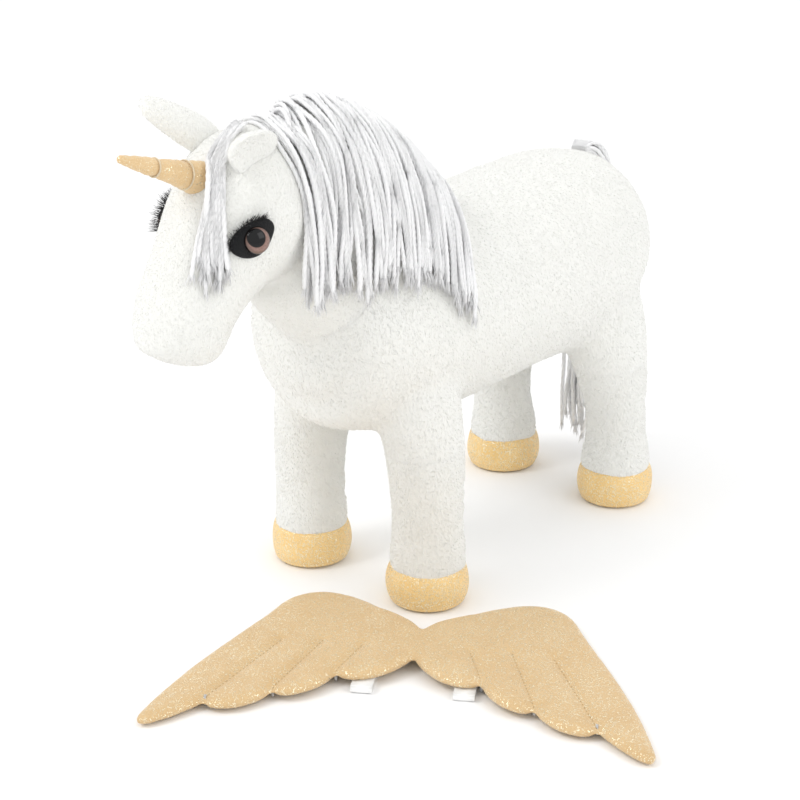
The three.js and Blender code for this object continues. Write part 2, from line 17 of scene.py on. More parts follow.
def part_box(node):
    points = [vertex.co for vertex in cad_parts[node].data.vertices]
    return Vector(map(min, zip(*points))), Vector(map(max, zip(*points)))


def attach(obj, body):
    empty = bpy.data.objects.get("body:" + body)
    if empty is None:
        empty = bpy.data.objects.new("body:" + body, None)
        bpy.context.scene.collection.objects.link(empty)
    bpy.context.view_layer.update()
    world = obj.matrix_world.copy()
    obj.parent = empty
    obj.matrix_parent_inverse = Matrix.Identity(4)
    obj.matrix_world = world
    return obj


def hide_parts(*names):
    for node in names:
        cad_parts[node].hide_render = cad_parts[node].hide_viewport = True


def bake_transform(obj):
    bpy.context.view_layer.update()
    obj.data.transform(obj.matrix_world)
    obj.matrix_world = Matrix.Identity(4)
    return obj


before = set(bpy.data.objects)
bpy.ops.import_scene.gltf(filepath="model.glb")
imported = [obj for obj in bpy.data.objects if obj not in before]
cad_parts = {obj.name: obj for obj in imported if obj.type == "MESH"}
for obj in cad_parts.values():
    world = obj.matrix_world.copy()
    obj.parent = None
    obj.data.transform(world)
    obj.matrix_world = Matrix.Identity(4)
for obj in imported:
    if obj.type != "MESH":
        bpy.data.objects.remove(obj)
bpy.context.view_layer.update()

# %% [markdown]
# ## Where things are
# The animal's own places are easiest in millimetres from the ground midway between its hooves, with
# its nose towards -Y and its left side towards +X. The four soles say where that point is in the
# frame, so one small function turns such a place into metres in the frame.

# %% The animal's own frame
SIDES = (("left", 1), ("right", -1))
ENDS = ("front", "rear")
MM = 0.001
sole_corners = [corner for end in ENDS for side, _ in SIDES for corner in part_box(f"hoof_sole_{end}_{side}")]
MIDDLE = sum(sole_corners, Vector()) / len(sole_corners)
MIDDLE.z = 0


def place(x, y, z):
    """A place on the animal in millimetres, as a point of the frame in metres."""
    return MIDDLE + Vector((x, y, z)) * MM


print("midway between the hooves:", [round(value, 4) for value in MIDDLE])

# %% [markdown]
# ## Camera
# A fairly long lens from the front left and a little above gives the calm perspective of a catalogue
# picture. The camera only aims: `to_track_quat` turns its -Z axis along the line of sight.

# %% Camera
camera = bpy.data.objects.new("camera", bpy.data.cameras.new("camera"))
bpy.context.scene.collection.objects.link(camera)
bpy.context.scene.camera = camera
STANDPOINT = (915.84, -1173.33, 682.36)
AIM = (0, -86.12, 134.12)
camera.location = place(*STANDPOINT)
sight = place(*AIM) - camera.location
camera.rotation_euler = sight.to_track_quat("-Z", "Y").to_euler()
camera.data.lens = 89.9
camera.data.sensor_width = 36
camera.data.clip_end = 50
print("camera to the animal:", round(sight.length, 3), "m")

# %% [markdown]
# ## Shader maths
# A finish is a sum of patterns. Wiring a Math node for each step is slow to read, so `Value` wraps a
# socket and lets Python's own operators add those nodes: `1 - mask` becomes a Subtract node. The
# reflected forms, such as `__rsub__`, make it work with the number on the left. Every other node
# comes from one method of `Finish`, which sets a node's settings before it fills its sockets,
# because some settings change which sockets there are.

# %% Socket arithmetic
class Value:
    """A socket of a finish's nodes, used like a number."""

    def __init__(self, finish, socket):
        self.finish, self.socket = finish, socket

    def math(self, operation, *terms):
        sockets = {number: term for number, term in enumerate(terms)}
        return self.finish.node("ShaderNodeMath", {"operation": operation}, sockets)

    def __add__(self, other):
        return self.math("ADD", self, other)

    def __radd__(self, other):
        return self.math("ADD", other, self)

    def __sub__(self, other):
        return self.math("SUBTRACT", self, other)

    def __rsub__(self, other):
        return self.math("SUBTRACT", other, self)

    def __mul__(self, other):
        return self.math("MULTIPLY", self, other)

    def __rmul__(self, other):
        return self.math("MULTIPLY", other, self)

    def __truediv__(self, other):
        return self.math("DIVIDE", self, other)

    def __pow__(self, other):
        return self.math("POWER", self, other)

    def output(self, name):
        """Another output of the node that this value comes from."""
        return Value(self.finish, self.socket.node.outputs[name])

    def sine(self):
        return self.math("SINE", self)

    def clamped(self):
        return self.math("MINIMUM", self.math("MAXIMUM", self, 0.0), 1.0)

    def above(self, edge, blur):
        """0 under the edge and 1 over it, with a soft step."""
        return ((self - edge) / blur + 0.5).clamped()


class Finish:
    """A material, its Principled shader and the one method that adds nodes."""

    def __init__(self, name, **constants):
        self.material = bpy.data.materials.new(name)
        self.material.use_nodes = True
        self.tree = self.material.node_tree
        self.shader = self.tree.nodes["Principled BSDF"]
        for socket, value in constants.items():
            title = socket.replace("_", " ").title().replace("Ior", "IOR")
            self.shader.inputs[title].default_value = value

    def node(self, kind, settings=None, sockets=None, output=0):
        node = self.tree.nodes.new(kind)
        for name, value in (settings or {}).items():
            setattr(node, name, value)
        for name, value in (sockets or {}).items():
            self.feed(node.inputs[name], value)
        return Value(self, node.outputs[output])

    def feed(self, socket, value):
        if isinstance(value, Value):
            self.tree.links.new(value.socket, socket)
        else:
            socket.default_value = value

    def coordinates(self, stretch=(1, 1, 1)):
        """Object coordinates, in metres, stretched along each axis."""
        where = self.node("ShaderNodeTexCoord", output="Object")
        return self.node("ShaderNodeMapping", None, {"Vector": where, "Scale": stretch})

    def grain(self, vector, scale, detail=2.0, roughness=0.5):
        sockets = {"Vector": vector, "Scale": scale, "Detail": detail, "Roughness": roughness}
        return self.node("ShaderNodeTexNoise", None, sockets)

    def mix(self, factor, low, high):
        """A colour between two. A Mix node takes colours at sockets 6 and 7, and gives one at output 2."""
        return self.node("ShaderNodeMix", {"data_type": "RGBA"}, {"Factor": factor, 6: low, 7: high}, 2)

    def colour(self, value):
        self.feed(self.shader.inputs["Base Color"], value)

    def rough(self, value):
        self.feed(self.shader.inputs["Roughness"], value)

    def relief(self, height, depth):
        """Bump of so many metres for a height of 1."""
        bump = self.node("ShaderNodeBump", None, {"Height": height, "Distance": depth})
        self.feed(self.shader.inputs["Normal"], bump)


def shade(red, green, blue):
    """A colour as the eye reads it, 0 to 255, as the linear light that a shader takes."""
    linear = [((v / 255 + 0.055) / 1.055) ** 2.4 if v > 10 else v / 255 / 12.92 for v in (red, green, blue)]
    return (*linear, 1)


print("white plush in linear light:", [round(v, 3) for v in shade(245, 245, 240)])

# %% [markdown]
# ## Floor and light
# White plush on white paper reads by its soft shade alone, so the light comes from everywhere: a
# white sky, one broad lamp at the upper left for the modelling, and a weaker one from the right. The
# lamps are squares about a metre wide, whose mirror image in a glossy eye is a small pale window.

# %% Floor and light
scene = bpy.context.scene
scene.view_settings.view_transform = "Standard"
paper = Finish("white_paper", roughness=0.9)
paper_fibre = paper.grain(paper.coordinates(), 3.0)
paper.colour(paper.mix(paper_fibre, (0.93, 0.93, 0.93, 1), (0.95, 0.95, 0.95, 1)))
paper_mesh = bmesh.new()
bmesh.ops.create_grid(paper_mesh, x_segments=8, y_segments=8, size=9)
floor_data = bpy.data.meshes.new("floor")
paper_mesh.to_mesh(floor_data)
paper_mesh.free()
floor = bpy.data.objects.new("floor", floor_data)
floor.data.materials.append(paper.material)
scene.collection.objects.link(floor)

sky = bpy.data.worlds.new("white_studio")
scene.world = sky
sky.use_nodes = True
sky.node_tree.nodes["Background"].inputs["Color"].default_value = (1, 1, 1, 1)
sky.node_tree.nodes["Background"].inputs["Strength"].default_value = 1.04


def lamp(name, at, towards, side, watts):
    """A square lamp that faces a point."""
    light = bpy.data.lights.new(name, "AREA")
    light.size, light.energy = side, watts
    holder = bpy.data.objects.new(name, light)
    holder.location = at
    holder.rotation_euler = (towards - at).to_track_quat("-Z", "Y").to_euler()
    scene.collection.objects.link(holder)


BELLY = place(0, 0, 150)
lamp("key_lamp", place(-900, -1900, 2300), BELLY, side=0.9, watts=20)
lamp("fill_lamp", place(2100, 300, 1500), BELLY, side=1.4, watts=9)

# %% [markdown]
# ## Short white plush
# Plush is a knitted ground with upright fibres a few millimetres long. Seen from a step away it is a
# matt white with a slightly cloudy look, because the fibres lie in different ways, and its outline
# is soft. Sheen gives the soft bright edge, a fine and a coarse noise make the cloudy look, and the
# fibres themselves are made as geometry further on.

# %% Plush finish
def plush(name, light, dark):
    finish = Finish(name, roughness=0.92, sheen_weight=0.35, sheen_roughness=0.5, specular_ior_level=0.15,
                    subsurface_weight=0.3, subsurface_radius=(1, 1, 0.95), subsurface_scale=0.003)
    where = finish.coordinates()
    strands = finish.grain(finish.coordinates((1, 1, 0.45)), 900.0, 3.0)
    clouds = finish.grain(where, 38.0, 3.0)
    finish.colour(finish.mix((0.35 * strands + 0.65 * clouds - 0.2).clamped(), dark, light))
    finish.rough(0.84 + 0.14 * strands)
    finish.relief(0.7 * strands + 0.3 * finish.grain(where, 240.0, 2.0), 0.0012)
    return finish.material


WHITE_PLUSH = plush("white_plush", shade(241, 241, 237), shade(233, 233, 229))
print("finish:", WHITE_PLUSH.name)

# %% [markdown]
# ## Yarn, felt, lashes and elastic
# The mane is loosely twisted cotton. Its plies are modelled, and the finish adds the fine fibres:
# stripes that run along the strand, from the piece's own "lay" map, where U goes once round and V
# is metres along. Felt is a mat of short fibres, lashes are smooth nylon, and elastic is a knitted
# band with ribs across it.

# %% Yarn, felt, lash and elastic finishes
def yarn(name, light, dark):
    finish = Finish(name, roughness=0.9, sheen_weight=0.25, specular_ior_level=0.2,
                    subsurface_weight=0.4, subsurface_radius=(1, 1, 1), subsurface_scale=0.003)
    lay = finish.node("ShaderNodeUVMap", {"uv_map": "lay"})
    along = finish.node("ShaderNodeMapping", None, {"Vector": lay, "Scale": (26, 320, 1)})
    fibre = finish.grain(along, 1.0, 3.0)
    clouds = finish.grain(finish.coordinates(), 60.0, 2.0)
    finish.colour(finish.mix((0.6 * fibre + 0.4 * clouds).above(0.45, 0.5), dark, light))
    finish.relief(fibre, 0.0006)
    return finish.material


def felt(name, light, dark, size):
    finish = Finish(name, roughness=0.95, sheen_weight=0.15, specular_ior_level=0.2)
    fibre = finish.grain(finish.coordinates(), size, 4.0, 0.7)
    finish.colour(finish.mix(fibre.above(0.5, 0.4), dark, light))
    finish.relief(fibre, 0.0008)
    return finish.material


def elastic():
    finish = Finish("white_elastic", roughness=0.8, sheen_weight=0.1)
    lay = finish.node("ShaderNodeUVMap", {"uv_map": "lay"})
    across = finish.node("ShaderNodeSeparateXYZ", None, {"Vector": lay}, "X")
    along = across.output("Y")
    ribs = (along * 4200.0).sine() * 0.5 + 0.5
    cords = (across * 60.0).sine() * 0.5 + 0.5
    knit = ribs * 0.6 + cords * 0.4
    finish.colour(finish.mix(knit, shade(226, 226, 224), shade(250, 250, 249)))
    finish.relief(knit, 0.0003)
    return finish.material


WHITE_YARN = yarn("white_yarn", shade(254, 254, 254), shade(243, 243, 245))
BLACK_FELT = felt("black_felt", shade(36, 37, 39), shade(14, 15, 16), 1500.0)
BLACK_LASH = felt("black_lash", shade(28, 28, 29), shade(14, 14, 15), 3000.0)
WHITE_ELASTIC = elastic()
print("finishes:", [m.name for m in (WHITE_YARN, BLACK_FELT, BLACK_LASH, WHITE_ELASTIC)])

# %% [markdown]
# ## Gold cloths
# Three gold cloths meet here. The wings are a velour sprinkled with tiny metal flecks. The hooves
# are the same cloth with a deeper pile, and the horn is a smoother satin. A fleck is one cell of a
# Voronoi pattern whose own random value is high: there the cloth turns metallic, smooth and pale.
# Rough patches of a broad noise keep the sprinkle from being even.

# %% Gold finishes
FLECKS_PER_METRE = 1500.0


def gold_cloth(name, light, dark, fleck_share, pile, gloss):
    finish = Finish(name, sheen_weight=0.25, sheen_roughness=0.4, specular_ior_level=0.4)
    where = finish.coordinates()
    pieces = finish.node("ShaderNodeTexVoronoi", None, {"Vector": where, "Scale": FLECKS_PER_METRE}, "Color")
    chance = finish.node("ShaderNodeSeparateColor", None, {"Color": pieces}, "Red")
    clouds = finish.grain(where, 45.0, 3.0)
    flecks = (chance + 0.25 * clouds).above(1.12 - fleck_share, 0.02)
    weave = finish.grain(where, 1100.0, 2.0)
    cloth = finish.mix((0.5 * weave + 0.5 * clouds).above(0.5, 0.45), dark, light)
    finish.colour(finish.mix(flecks, cloth, shade(255, 240, 205)))
    finish.feed(finish.shader.inputs["Metallic"], flecks * 0.75)
    finish.rough(0.75 - 0.45 * flecks - gloss * weave)
    finish.relief(0.6 * weave + 0.4 * flecks, pile)
    return finish.material


WING_CLOTH = gold_cloth("gold_wing_velour", shade(218, 189, 144), shade(203, 170, 122), 0.16, 0.0006, 0.1)
HOOF_CLOTH = gold_cloth("gold_hoof_velour", shade(250, 219, 160), shade(232, 192, 122), 0.22, 0.0010, 0.1)
HORN_CLOTH = gold_cloth("gold_horn_satin", shade(230, 203, 160), shade(206, 172, 122), 0.05, 0.0003, 0.3)
PALE_THREAD = felt("pale_thread", shade(246, 232, 205), shade(222, 202, 168), 2500.0)
WING_THREAD = felt("gold_seam_thread", shade(205, 172, 120), shade(170, 138, 92), 2500.0)
SEAM_THREAD = felt("white_seam_thread", shade(240, 240, 240), shade(205, 205, 205), 2500.0)
print("gold finishes:", [m.name for m in (WING_CLOTH, HOOF_CLOTH, HORN_CLOTH)])

# %% [markdown]
# ## Rings and skins
# Most of the toy is round in section, so most of it starts as a row of rings: a circle from
# `create_circle`, squashed and set square to the line through the row, and joined to the next by
# `bridge_loops`. The lists hold only a few stations, and a Catmull-Rom curve through them gives the
# in-between rings, so the outline bends smoothly as stretched plush does.

# %% Lofting
LEAST_RADIUS = 0.3


def between(stations, steps):
    """Stations on a smooth curve through the given ones."""
    rows = np.array(stations, float)
    padded = np.vstack([2 * rows[0] - rows[1], rows, 2 * rows[-1] - rows[-2]])
    curve = []
    for k in range(len(rows) - 1):
        a, b, c, d = padded[k : k + 4]
        for step in range(steps):
            t = step / steps
            curve.append(0.5 * (2 * b + (c - a) * t + (2 * a - 5 * b + 4 * c - d) * t**2
                                + (3 * b - a - 3 * c + d) * t**3))
    return np.vstack([curve, rows[-1]])


def ring_frames(centres):
    """For each centre, a matrix whose Z axis runs along the row and whose X axis is level."""
    matrices = []
    for k, centre in enumerate(centres):
        along = (centres[min(k + 1, len(centres) - 1)] - centres[max(k - 1, 0)]).normalized()
        across = (Vector((1, 0, 0)) - along * along.x).normalized()
        turn = Matrix((across, along.cross(across), along)).transposed().to_4x4()
        matrices.append(Matrix.Translation(centre) @ turn)
    return matrices


def loft(bm, stations, sides=36, steps=4, shape=None):
    """Adds a closed skin through rings [x, y, z, half width, half depth], in the animal's millimetres."""
    rows = between(stations, steps)
    frames = ring_frames([place(*row[:3]) for row in rows])
    rings = []
    for row, matrix in zip(rows, frames):
        size = Matrix.Diagonal((max(row[3], LEAST_RADIUS) * MM, max(row[4], LEAST_RADIUS) * MM, MM, 1))
        ring = bmesh.ops.create_circle(bm, segments=sides, radius=1, matrix=matrix @ size)["verts"]
        if shape:
            for vert in ring:
                vert.co = matrix @ shape(matrix.inverted() @ vert.co, row)
        rings.append(list({edge for vert in ring for edge in vert.link_edges}))
    for near, far in zip(rings, rings[1:]):
        bmesh.ops.bridge_loops(bm, edges=near + far)
    for end in (rings[0], rings[-1]):
        bmesh.ops.holes_fill(bm, edges=end, sides=0)


print("three stations give", len(between([[0], [1], [2]], 4)), "rings")

# %% Pieces and their points
def piece(name, bm, finish, smooth=True):
    """A finished piece from its mesh: doubles merged, faces turned outwards, one material."""
    bmesh.ops.remove_doubles(bm, verts=bm.verts[:], dist=1e-6)
    bmesh.ops.recalc_face_normals(bm, faces=bm.faces[:])
    data = bpy.data.meshes.new(name)
    bm.to_mesh(data)
    bm.free()
    made = bpy.data.objects.new(name, data)
    made.data.materials.append(finish)
    if smooth:
        made.data.shade_smooth()
    scene.collection.objects.link(made)
    return made


def applied(made):
    """The piece with its modifiers worked into its mesh."""
    bpy.context.view_layer.update()
    shaped = made.evaluated_get(bpy.context.evaluated_depsgraph_get())
    data = bpy.data.meshes.new_from_object(shaped)
    made.modifiers.clear()
    made.data = data


def per_vertex(made, what):
    """The coordinates ("co") or the normals ("normal") of a piece's vertices, one row each."""
    rows = np.empty(len(made.data.vertices) * 3)
    made.data.vertices.foreach_get(what, rows)
    return rows.reshape(-1, 3)


def moved(made, points):
    made.data.vertices.foreach_set("co", np.asarray(points, float).ravel())
    made.data.update()


print("the floor has", len(per_vertex(floor, "co")), "vertices")

# %% [markdown]
# ## The stuffed hide
# The body, neck, head and legs are sewn from one cloth and stuffed hard, so they swell into each
# other with soft hollows where they meet. Separate lofts would show hard lines there. They are
# made as lofts, melted into one skin by a voxel remesh, and relaxed with `smooth_vert`, which
# rounds the hollows like pulled cloth. The skin is cut back into sewn pieces afterwards.

# %% Lofts of the hide
BODY = [
    [0, -200, 216, 8, 8], [0, -195, 216, 40, 43], [0, -178, 216, 65, 69], [0, -132, 210, 78, 81],
    [0, -62, 208, 80, 81], [0, 0, 209, 80, 80.5], [0, 62, 211, 81, 81.5], [0, 105, 211, 80, 81.5],
    [0, 138, 204, 72, 76], [0, 160, 197, 54, 59], [0, 170, 193, 30, 36], [0, 174, 191, 8, 8],
]
NECK = [
    [0, -96, 213, 70, 71], [0, -119, 242, 70, 78], [0, -152, 277, 63, 80.5], [0, -179, 301, 55, 77.5],
    [0, -202, 319, 48, 67], [0, -228, 328, 42, 53],
]
HEAD = [
    [0, -238, 336, 32, 36], [0, -248, 328, 41, 44.5], [0, -268, 308, 42, 45], [0, -291, 282, 35.5, 37.5],
    [0, -306, 263, 33.5, 34.5], [0, -313, 247, 32, 32], [0, -317, 234, 25, 26], [0, -319, 228, 9, 9],
]
CRANIUM_SIZE = (0.0455, 0.0555, 0.0555)
LEG_OUT = 59
LEG_ALONG = {"front": -124, "rear": 124}
HIDE_VOXEL = 0.0032


def leg_stations(side, end):
    x, y = side * LEG_OUT, LEG_ALONG[end]
    radius, depth, lean = (27, 36, 0) if end == "front" else (25.5, 43, -12)
    return [
        [x, y, 14, 26.5, 26.5], [x, y, 28, 28.5, 28.5], [x, y, 42, 28.2, 28.2],
        [x, y + 0.1 * lean, 58, radius, radius - 0.1 * abs(lean)],
        [x, y + 0.3 * lean, 85, radius, 0.9 * radius + 0.1 * depth - 0.2 * abs(lean)],
        [x - side * 3.6, y + 0.6 * lean, 124, radius / 2 + 14, 0.4 * radius + 0.6 * depth],
        [x - side * 12, y + lean, 165, 28.5, depth], [x - side * 16, y + lean, 196, 22, 0.75 * depth],
        [x - side * 18, y + lean, 212, 6, 10],
    ]


hide_mesh = bmesh.new()
for stations in (BODY, NECK, HEAD):
    loft(hide_mesh, stations)
cranium = Matrix.Translation(place(0, -246, 321)) @ Matrix.Diagonal((*CRANIUM_SIZE, 1))
bmesh.ops.create_uvsphere(hide_mesh, u_segments=36, v_segments=24, radius=1, matrix=cranium)
for end in ENDS:
    for _, side in SIDES:
        loft(hide_mesh, leg_stations(side, end), sides=28)
hide = piece("hide", hide_mesh, WHITE_PLUSH)
melt = hide.modifiers.new("melt", "REMESH")
melt.mode, melt.voxel_size = "VOXEL", HIDE_VOXEL
applied(hide)
print("hide:", len(hide.data.vertices), "vertices after the remesh")

# %% Relaxing the hide
def relaxed(made, rounds, factor=0.5):
    bm = bmesh.new()
    bm.from_mesh(made.data)
    for _ in range(rounds):
        bmesh.ops.smooth_vert(bm, verts=bm.verts[:], factor=factor,
                              use_axis_x=True, use_axis_y=True, use_axis_z=True)
    bm.to_mesh(made.data)
    bm.free()


relaxed(hide, 9)
hide.data.shade_smooth()
print("relaxed hide height:", round(max(per_vertex(hide, "co")[:, 2]), 3), "m")

# %% [markdown]
# ## Creases
# The cloth wrinkles where the firm legs are bent by their stuffing: a few shallow folds across the
# back of the knees. A fold is a dip whose depth falls off to both sides as a bell curve, so each
# vertex moves in along its normal by a sum of bells. A broad and a fine noise add the soft lumps
# that wadding makes.

# %% Pressing the creases in
def bell(distance, width):
    return np.exp(-((distance / width) ** 2))


CREASES = [
    ("front", 1, 62, 2.0), ("front", 1, 75, 1.6), ("front", 1, 90, 1.5), ("front", 1, 50, 1.0),
    ("front", -1, 52, 1.3), ("front", -1, 70, 0.9),
    ("rear", 1, 60, 1.1), ("rear", 1, 84, 0.8), ("rear", -1, 66, 1.0),
]
CREASE_TURN, CREASE_WIDTH = 0.75, 3.2


def pressed(points, normals):
    """The skin's points after its creases, each an end, a side, a height and a depth, are pressed in."""
    spots = (points - np.array(MIDDLE)) / MM
    dip = np.zeros(len(spots))
    for end, side, height, depth in CREASES:
        x, y = spots[:, 0] - side * LEG_OUT, spots[:, 1] - LEG_ALONG[end]
        turn = np.arctan2(y, x)
        behind = bell(np.abs(np.angle(np.exp(1j * (turn - CREASE_TURN)))), 0.95)
        wave = height + 2.5 * np.sin(2.3 * turn + height) + 4 * np.cos(turn)
        near = bell(np.hypot(x, y), 60)
        dip += depth * behind * near * bell(spots[:, 2] - wave, CREASE_WIDTH)
    broad = np.array([noise.noise(Vector(p) / 34) for p in spots])
    fine = np.array([noise.noise(Vector(p) / 13) for p in spots])
    return points + normals * ((0.9 * broad + 0.35 * fine - dip) * MM)[:, None]


moved(hide, pressed(per_vertex(hide, "co"), per_vertex(hide, "normal")))
relaxed(hide, 1, 0.3)
hide_surface = BVHTree.FromObject(hide, bpy.context.evaluated_depsgraph_get())
print("creases pressed into", len(hide.data.vertices), "vertices")

# %% [markdown]
# ## Cutting the hide into sewn pieces
# The toy bends at the base of the neck and at the tops of the legs. The skin is cut by planes there
# with `bisect_plane`, so each piece ends exactly where the next begins, and each cut is closed with
# a flat cap whose edge is marked sharp, so that it doesn't darken the rim.

# %% Cutting and joining
LEG_CUT = 121
NECK_CUT = place(0, -168, 270)
NECK_WAY = Vector((0, -0.83, 0.557)).normalized()
HOOF_CUT = 27


def cut_piece(name, planes):
    """The part of the hide on the positive side of each plane (point, direction)."""
    bm = bmesh.new()
    bm.from_mesh(hide.data)
    for point, way in planes:
        everything = bm.verts[:] + bm.edges[:] + bm.faces[:]
        cut = bmesh.ops.bisect_plane(bm, geom=everything, dist=1e-6, plane_co=point, plane_no=way,
                                     clear_inner=True)
        rim = [part for part in cut["geom_cut"] if isinstance(part, bmesh.types.BMEdge) and part.is_boundary]
        caps = bmesh.ops.holes_fill(bm, edges=rim, sides=0)["faces"]
        for edge in rim:
            edge.smooth = False
        for cap in caps:
            cap.smooth = False
    return piece(name, bm, WHITE_PLUSH, smooth=False)


UP, AHEAD = Vector((0, 0, 1)), Vector((0, -1, 0))
body = cut_piece("body_hide", [(place(0, 0, LEG_CUT), UP), (NECK_CUT, -NECK_WAY)])
head = cut_piece("head_hide", [(NECK_CUT, NECK_WAY)])
legs = {}
for end in ENDS:
    for side_name, side in SIDES:
        fore = AHEAD if end == "front" else -AHEAD
        planes = [(place(0, 0, LEG_CUT), -UP), (place(0, 0, 0), fore), (place(0, 0, 0), Vector((side, 0, 0))),
                  (place(0, 0, HOOF_CUT), UP)]
        legs[end, side_name] = cut_piece(f"leg_hide_{end}_{side_name}", planes)
bpy.data.objects.remove(hide)
print("cut pieces:", [o.name for o in (body, head, *legs.values())])

# %% [markdown]
# ## How the pieces ride
# The body's piece and its pile ride on the trunk. The head's and the legs' pieces are only set in the
# frame and ride on no body. The pile that is laid on a piece later is treated as the piece under it.

# %% Bodies of the hide's pieces
def on_trunk(made):
    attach(made, "trunk")


def on_head(made):
    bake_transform(made)


def on_leg():
    return lambda made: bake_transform(made)


riding = {body.name: on_trunk, head.name: on_head}
for (end, side_name), leg in legs.items():
    riding[leg.name] = on_leg()
print("bending pieces:", len(riding) - 1)

# %% [markdown]
# ## The place of an eye
# An eye's felt lies bare on the cheek, so the pile has to leave room for it. The eye's own axes come
# first: X runs from the inner to the outer corner, Y up and towards the nose, and Z out of the
# cheek. The felt's outline is a ring of points in those axes, read off by angle.

# %% Eye axes and the felt's outline
EYE_WAY = Vector((0.9, -0.38, 0.2)).normalized()
EYE_ACROSS = Vector((0, 0.82, 0.5)).normalized()
EYE_UP = EYE_WAY.cross(EYE_ACROSS).normalized()
EYE_LEVEL = EYE_UP.cross(EYE_WAY).normalized()
EYE_SPOT = (41.67, -280, 312.7)
LEFT_EYE = Matrix.Translation(place(*EYE_SPOT)) @ Matrix((EYE_LEVEL, EYE_UP, EYE_WAY)).transposed().to_4x4()
REFLECT = Matrix.Translation((2 * MIDDLE.x, 0, 0)) @ Matrix.Diagonal((-1, 1, 1, 1))
FELT_OUTLINE = np.array([(-17.9, 8.8), (-17, 2.5), (-13.5, -3.2), (-7.5, -8), (0, -10), (6, -9), (10.5, -6.5),
                         (16.7, -1.5), (15.2, 5), (10.5, 9.2), (5, 11.6), (0, 12.8), (-6, 13.2), (-13, 12.2)])
CORNER_SOFTENING, FELT_MARGIN, CHEEK_DEPTH = 0.16, 0.4, 14


def felt_reach(turn):
    """How far the felt reaches from the eye's centre, in millimetres, in a direction."""
    turns = np.arctan2(FELT_OUTLINE[:, 1], FELT_OUTLINE[:, 0])
    reach = np.hypot(*FELT_OUTLINE.T)
    asides = (-CORNER_SOFTENING, 0, CORNER_SOFTENING)
    return sum(np.interp(turn + aside, turns, reach, period=2 * math.pi) for aside in asides) / 3


def clear_of_eyes(spots):
    """Spots on the animal that neither felt patch covers."""
    clear = np.ones(len(spots), bool)
    for mirror in (1, -1):
        offsets = (spots * [mirror, 1, 1] - EYE_SPOT) @ np.array((EYE_LEVEL, EYE_UP, EYE_WAY)).T
        x, y, outward = offsets.T
        covered = np.hypot(x, y) < felt_reach(np.arctan2(y, x)) + FELT_MARGIN
        clear &= ~(covered & (np.abs(outward) < CHEEK_DEPTH))
    return clear


print("felt reaches", [round(float(felt_reach(turn)), 1) for turn in (0, 1.5, 3.1, -1.5)], "mm")

# %% [markdown]
# ## The pile
# The real pile is millions of fibres. A tuft, a slim three-sided spike made once with
# `create_cone`, stands for a few hundred of them. The tufts sit a little inside the cloth, one or
# two to each triangle of the skin, and lean the way the nap was brushed. Their points are what gives
# the outline its soft edge. A tuft has four faces, and NumPy copies it to every place at once,
# because making each copy with an operator would take minutes. Each tuft gets a small square of the
# texture map to itself.

# %% One tuft
tuft_mesh = bmesh.new()
bmesh.ops.create_cone(tuft_mesh, cap_ends=True, cap_tris=False, segments=3, radius1=1, radius2=0, depth=1,
                      matrix=Matrix.Translation((0, 0, 0.5)))
bmesh.ops.remove_doubles(tuft_mesh, verts=tuft_mesh.verts[:], dist=1e-5)
tuft_mesh.verts.index_update()
TUFT_POINTS = np.array([vert.co[:] for vert in tuft_mesh.verts])
TUFT_FACES = np.array([[vert.index for vert in face.verts] for face in tuft_mesh.faces])
tuft_mesh.free()
print("a tuft has", len(TUFT_POINTS), "points and", len(TUFT_FACES), "faces")

# %% Copies of one small mesh
def copies(name, points, faces, finish):
    """One mesh of many copies: points is (copies, points, 3) and faces belong to one copy."""
    count, size = points.shape[:2]
    offsets = (np.arange(count) * size)[:, None, None]
    rows = (faces[None] + offsets).reshape(-1, faces.shape[1])
    data = bpy.data.meshes.new(name)
    data.from_pydata(points.reshape(-1, 3).tolist(), [], rows.tolist())
    made = bpy.data.objects.new(name, data)
    made.data.materials.append(finish)
    scene.collection.objects.link(made)
    return made


def unit(vectors):
    return vectors / np.maximum(np.linalg.norm(vectors, axis=-1, keepdims=True), 1e-9)


def tufts(name, roots, stem, across, wide, tall, finish):
    """A tuft at each root: so wide to both sides and so tall along its stem, in metres."""
    other = np.cross(stem, across)
    shape = TUFT_POINTS[None]
    laid = roots[:, None] + wide * (shape[..., :1] * across[:, None] + shape[..., 1:2] * other[:, None])
    return copies(name, laid + tall * shape[..., 2:] * stem[:, None], TUFT_FACES, finish)


def map_points(made, name, flat):
    """A texture map from one place for each of the piece's points."""
    index = np.empty(len(made.data.loops), int)
    made.data.loops.foreach_get("vertex_index", index)
    made.data.uv_layers.new(name=name).data.foreach_set("uv", flat.reshape(-1, 2)[index].ravel())


print("a unit vector:", unit(np.array([3.0, 4.0, 0.0])).tolist())

# %% Laying the pile
ROOT_DEPTH, PILE_WIDTH, NAP_SPREAD = 0.0007, 0.4, 0.22


def nap_of(spots):
    """The way the pile was brushed: back along the body, down the legs and down the face."""
    flow = np.tile([0.0, 0.55, -0.85], (len(spots), 1))
    on_face = (spots[:, 1] < -225) & (spots[:, 2] > 180)
    flow[on_face] = [0.0, -0.5, -0.85]
    return flow


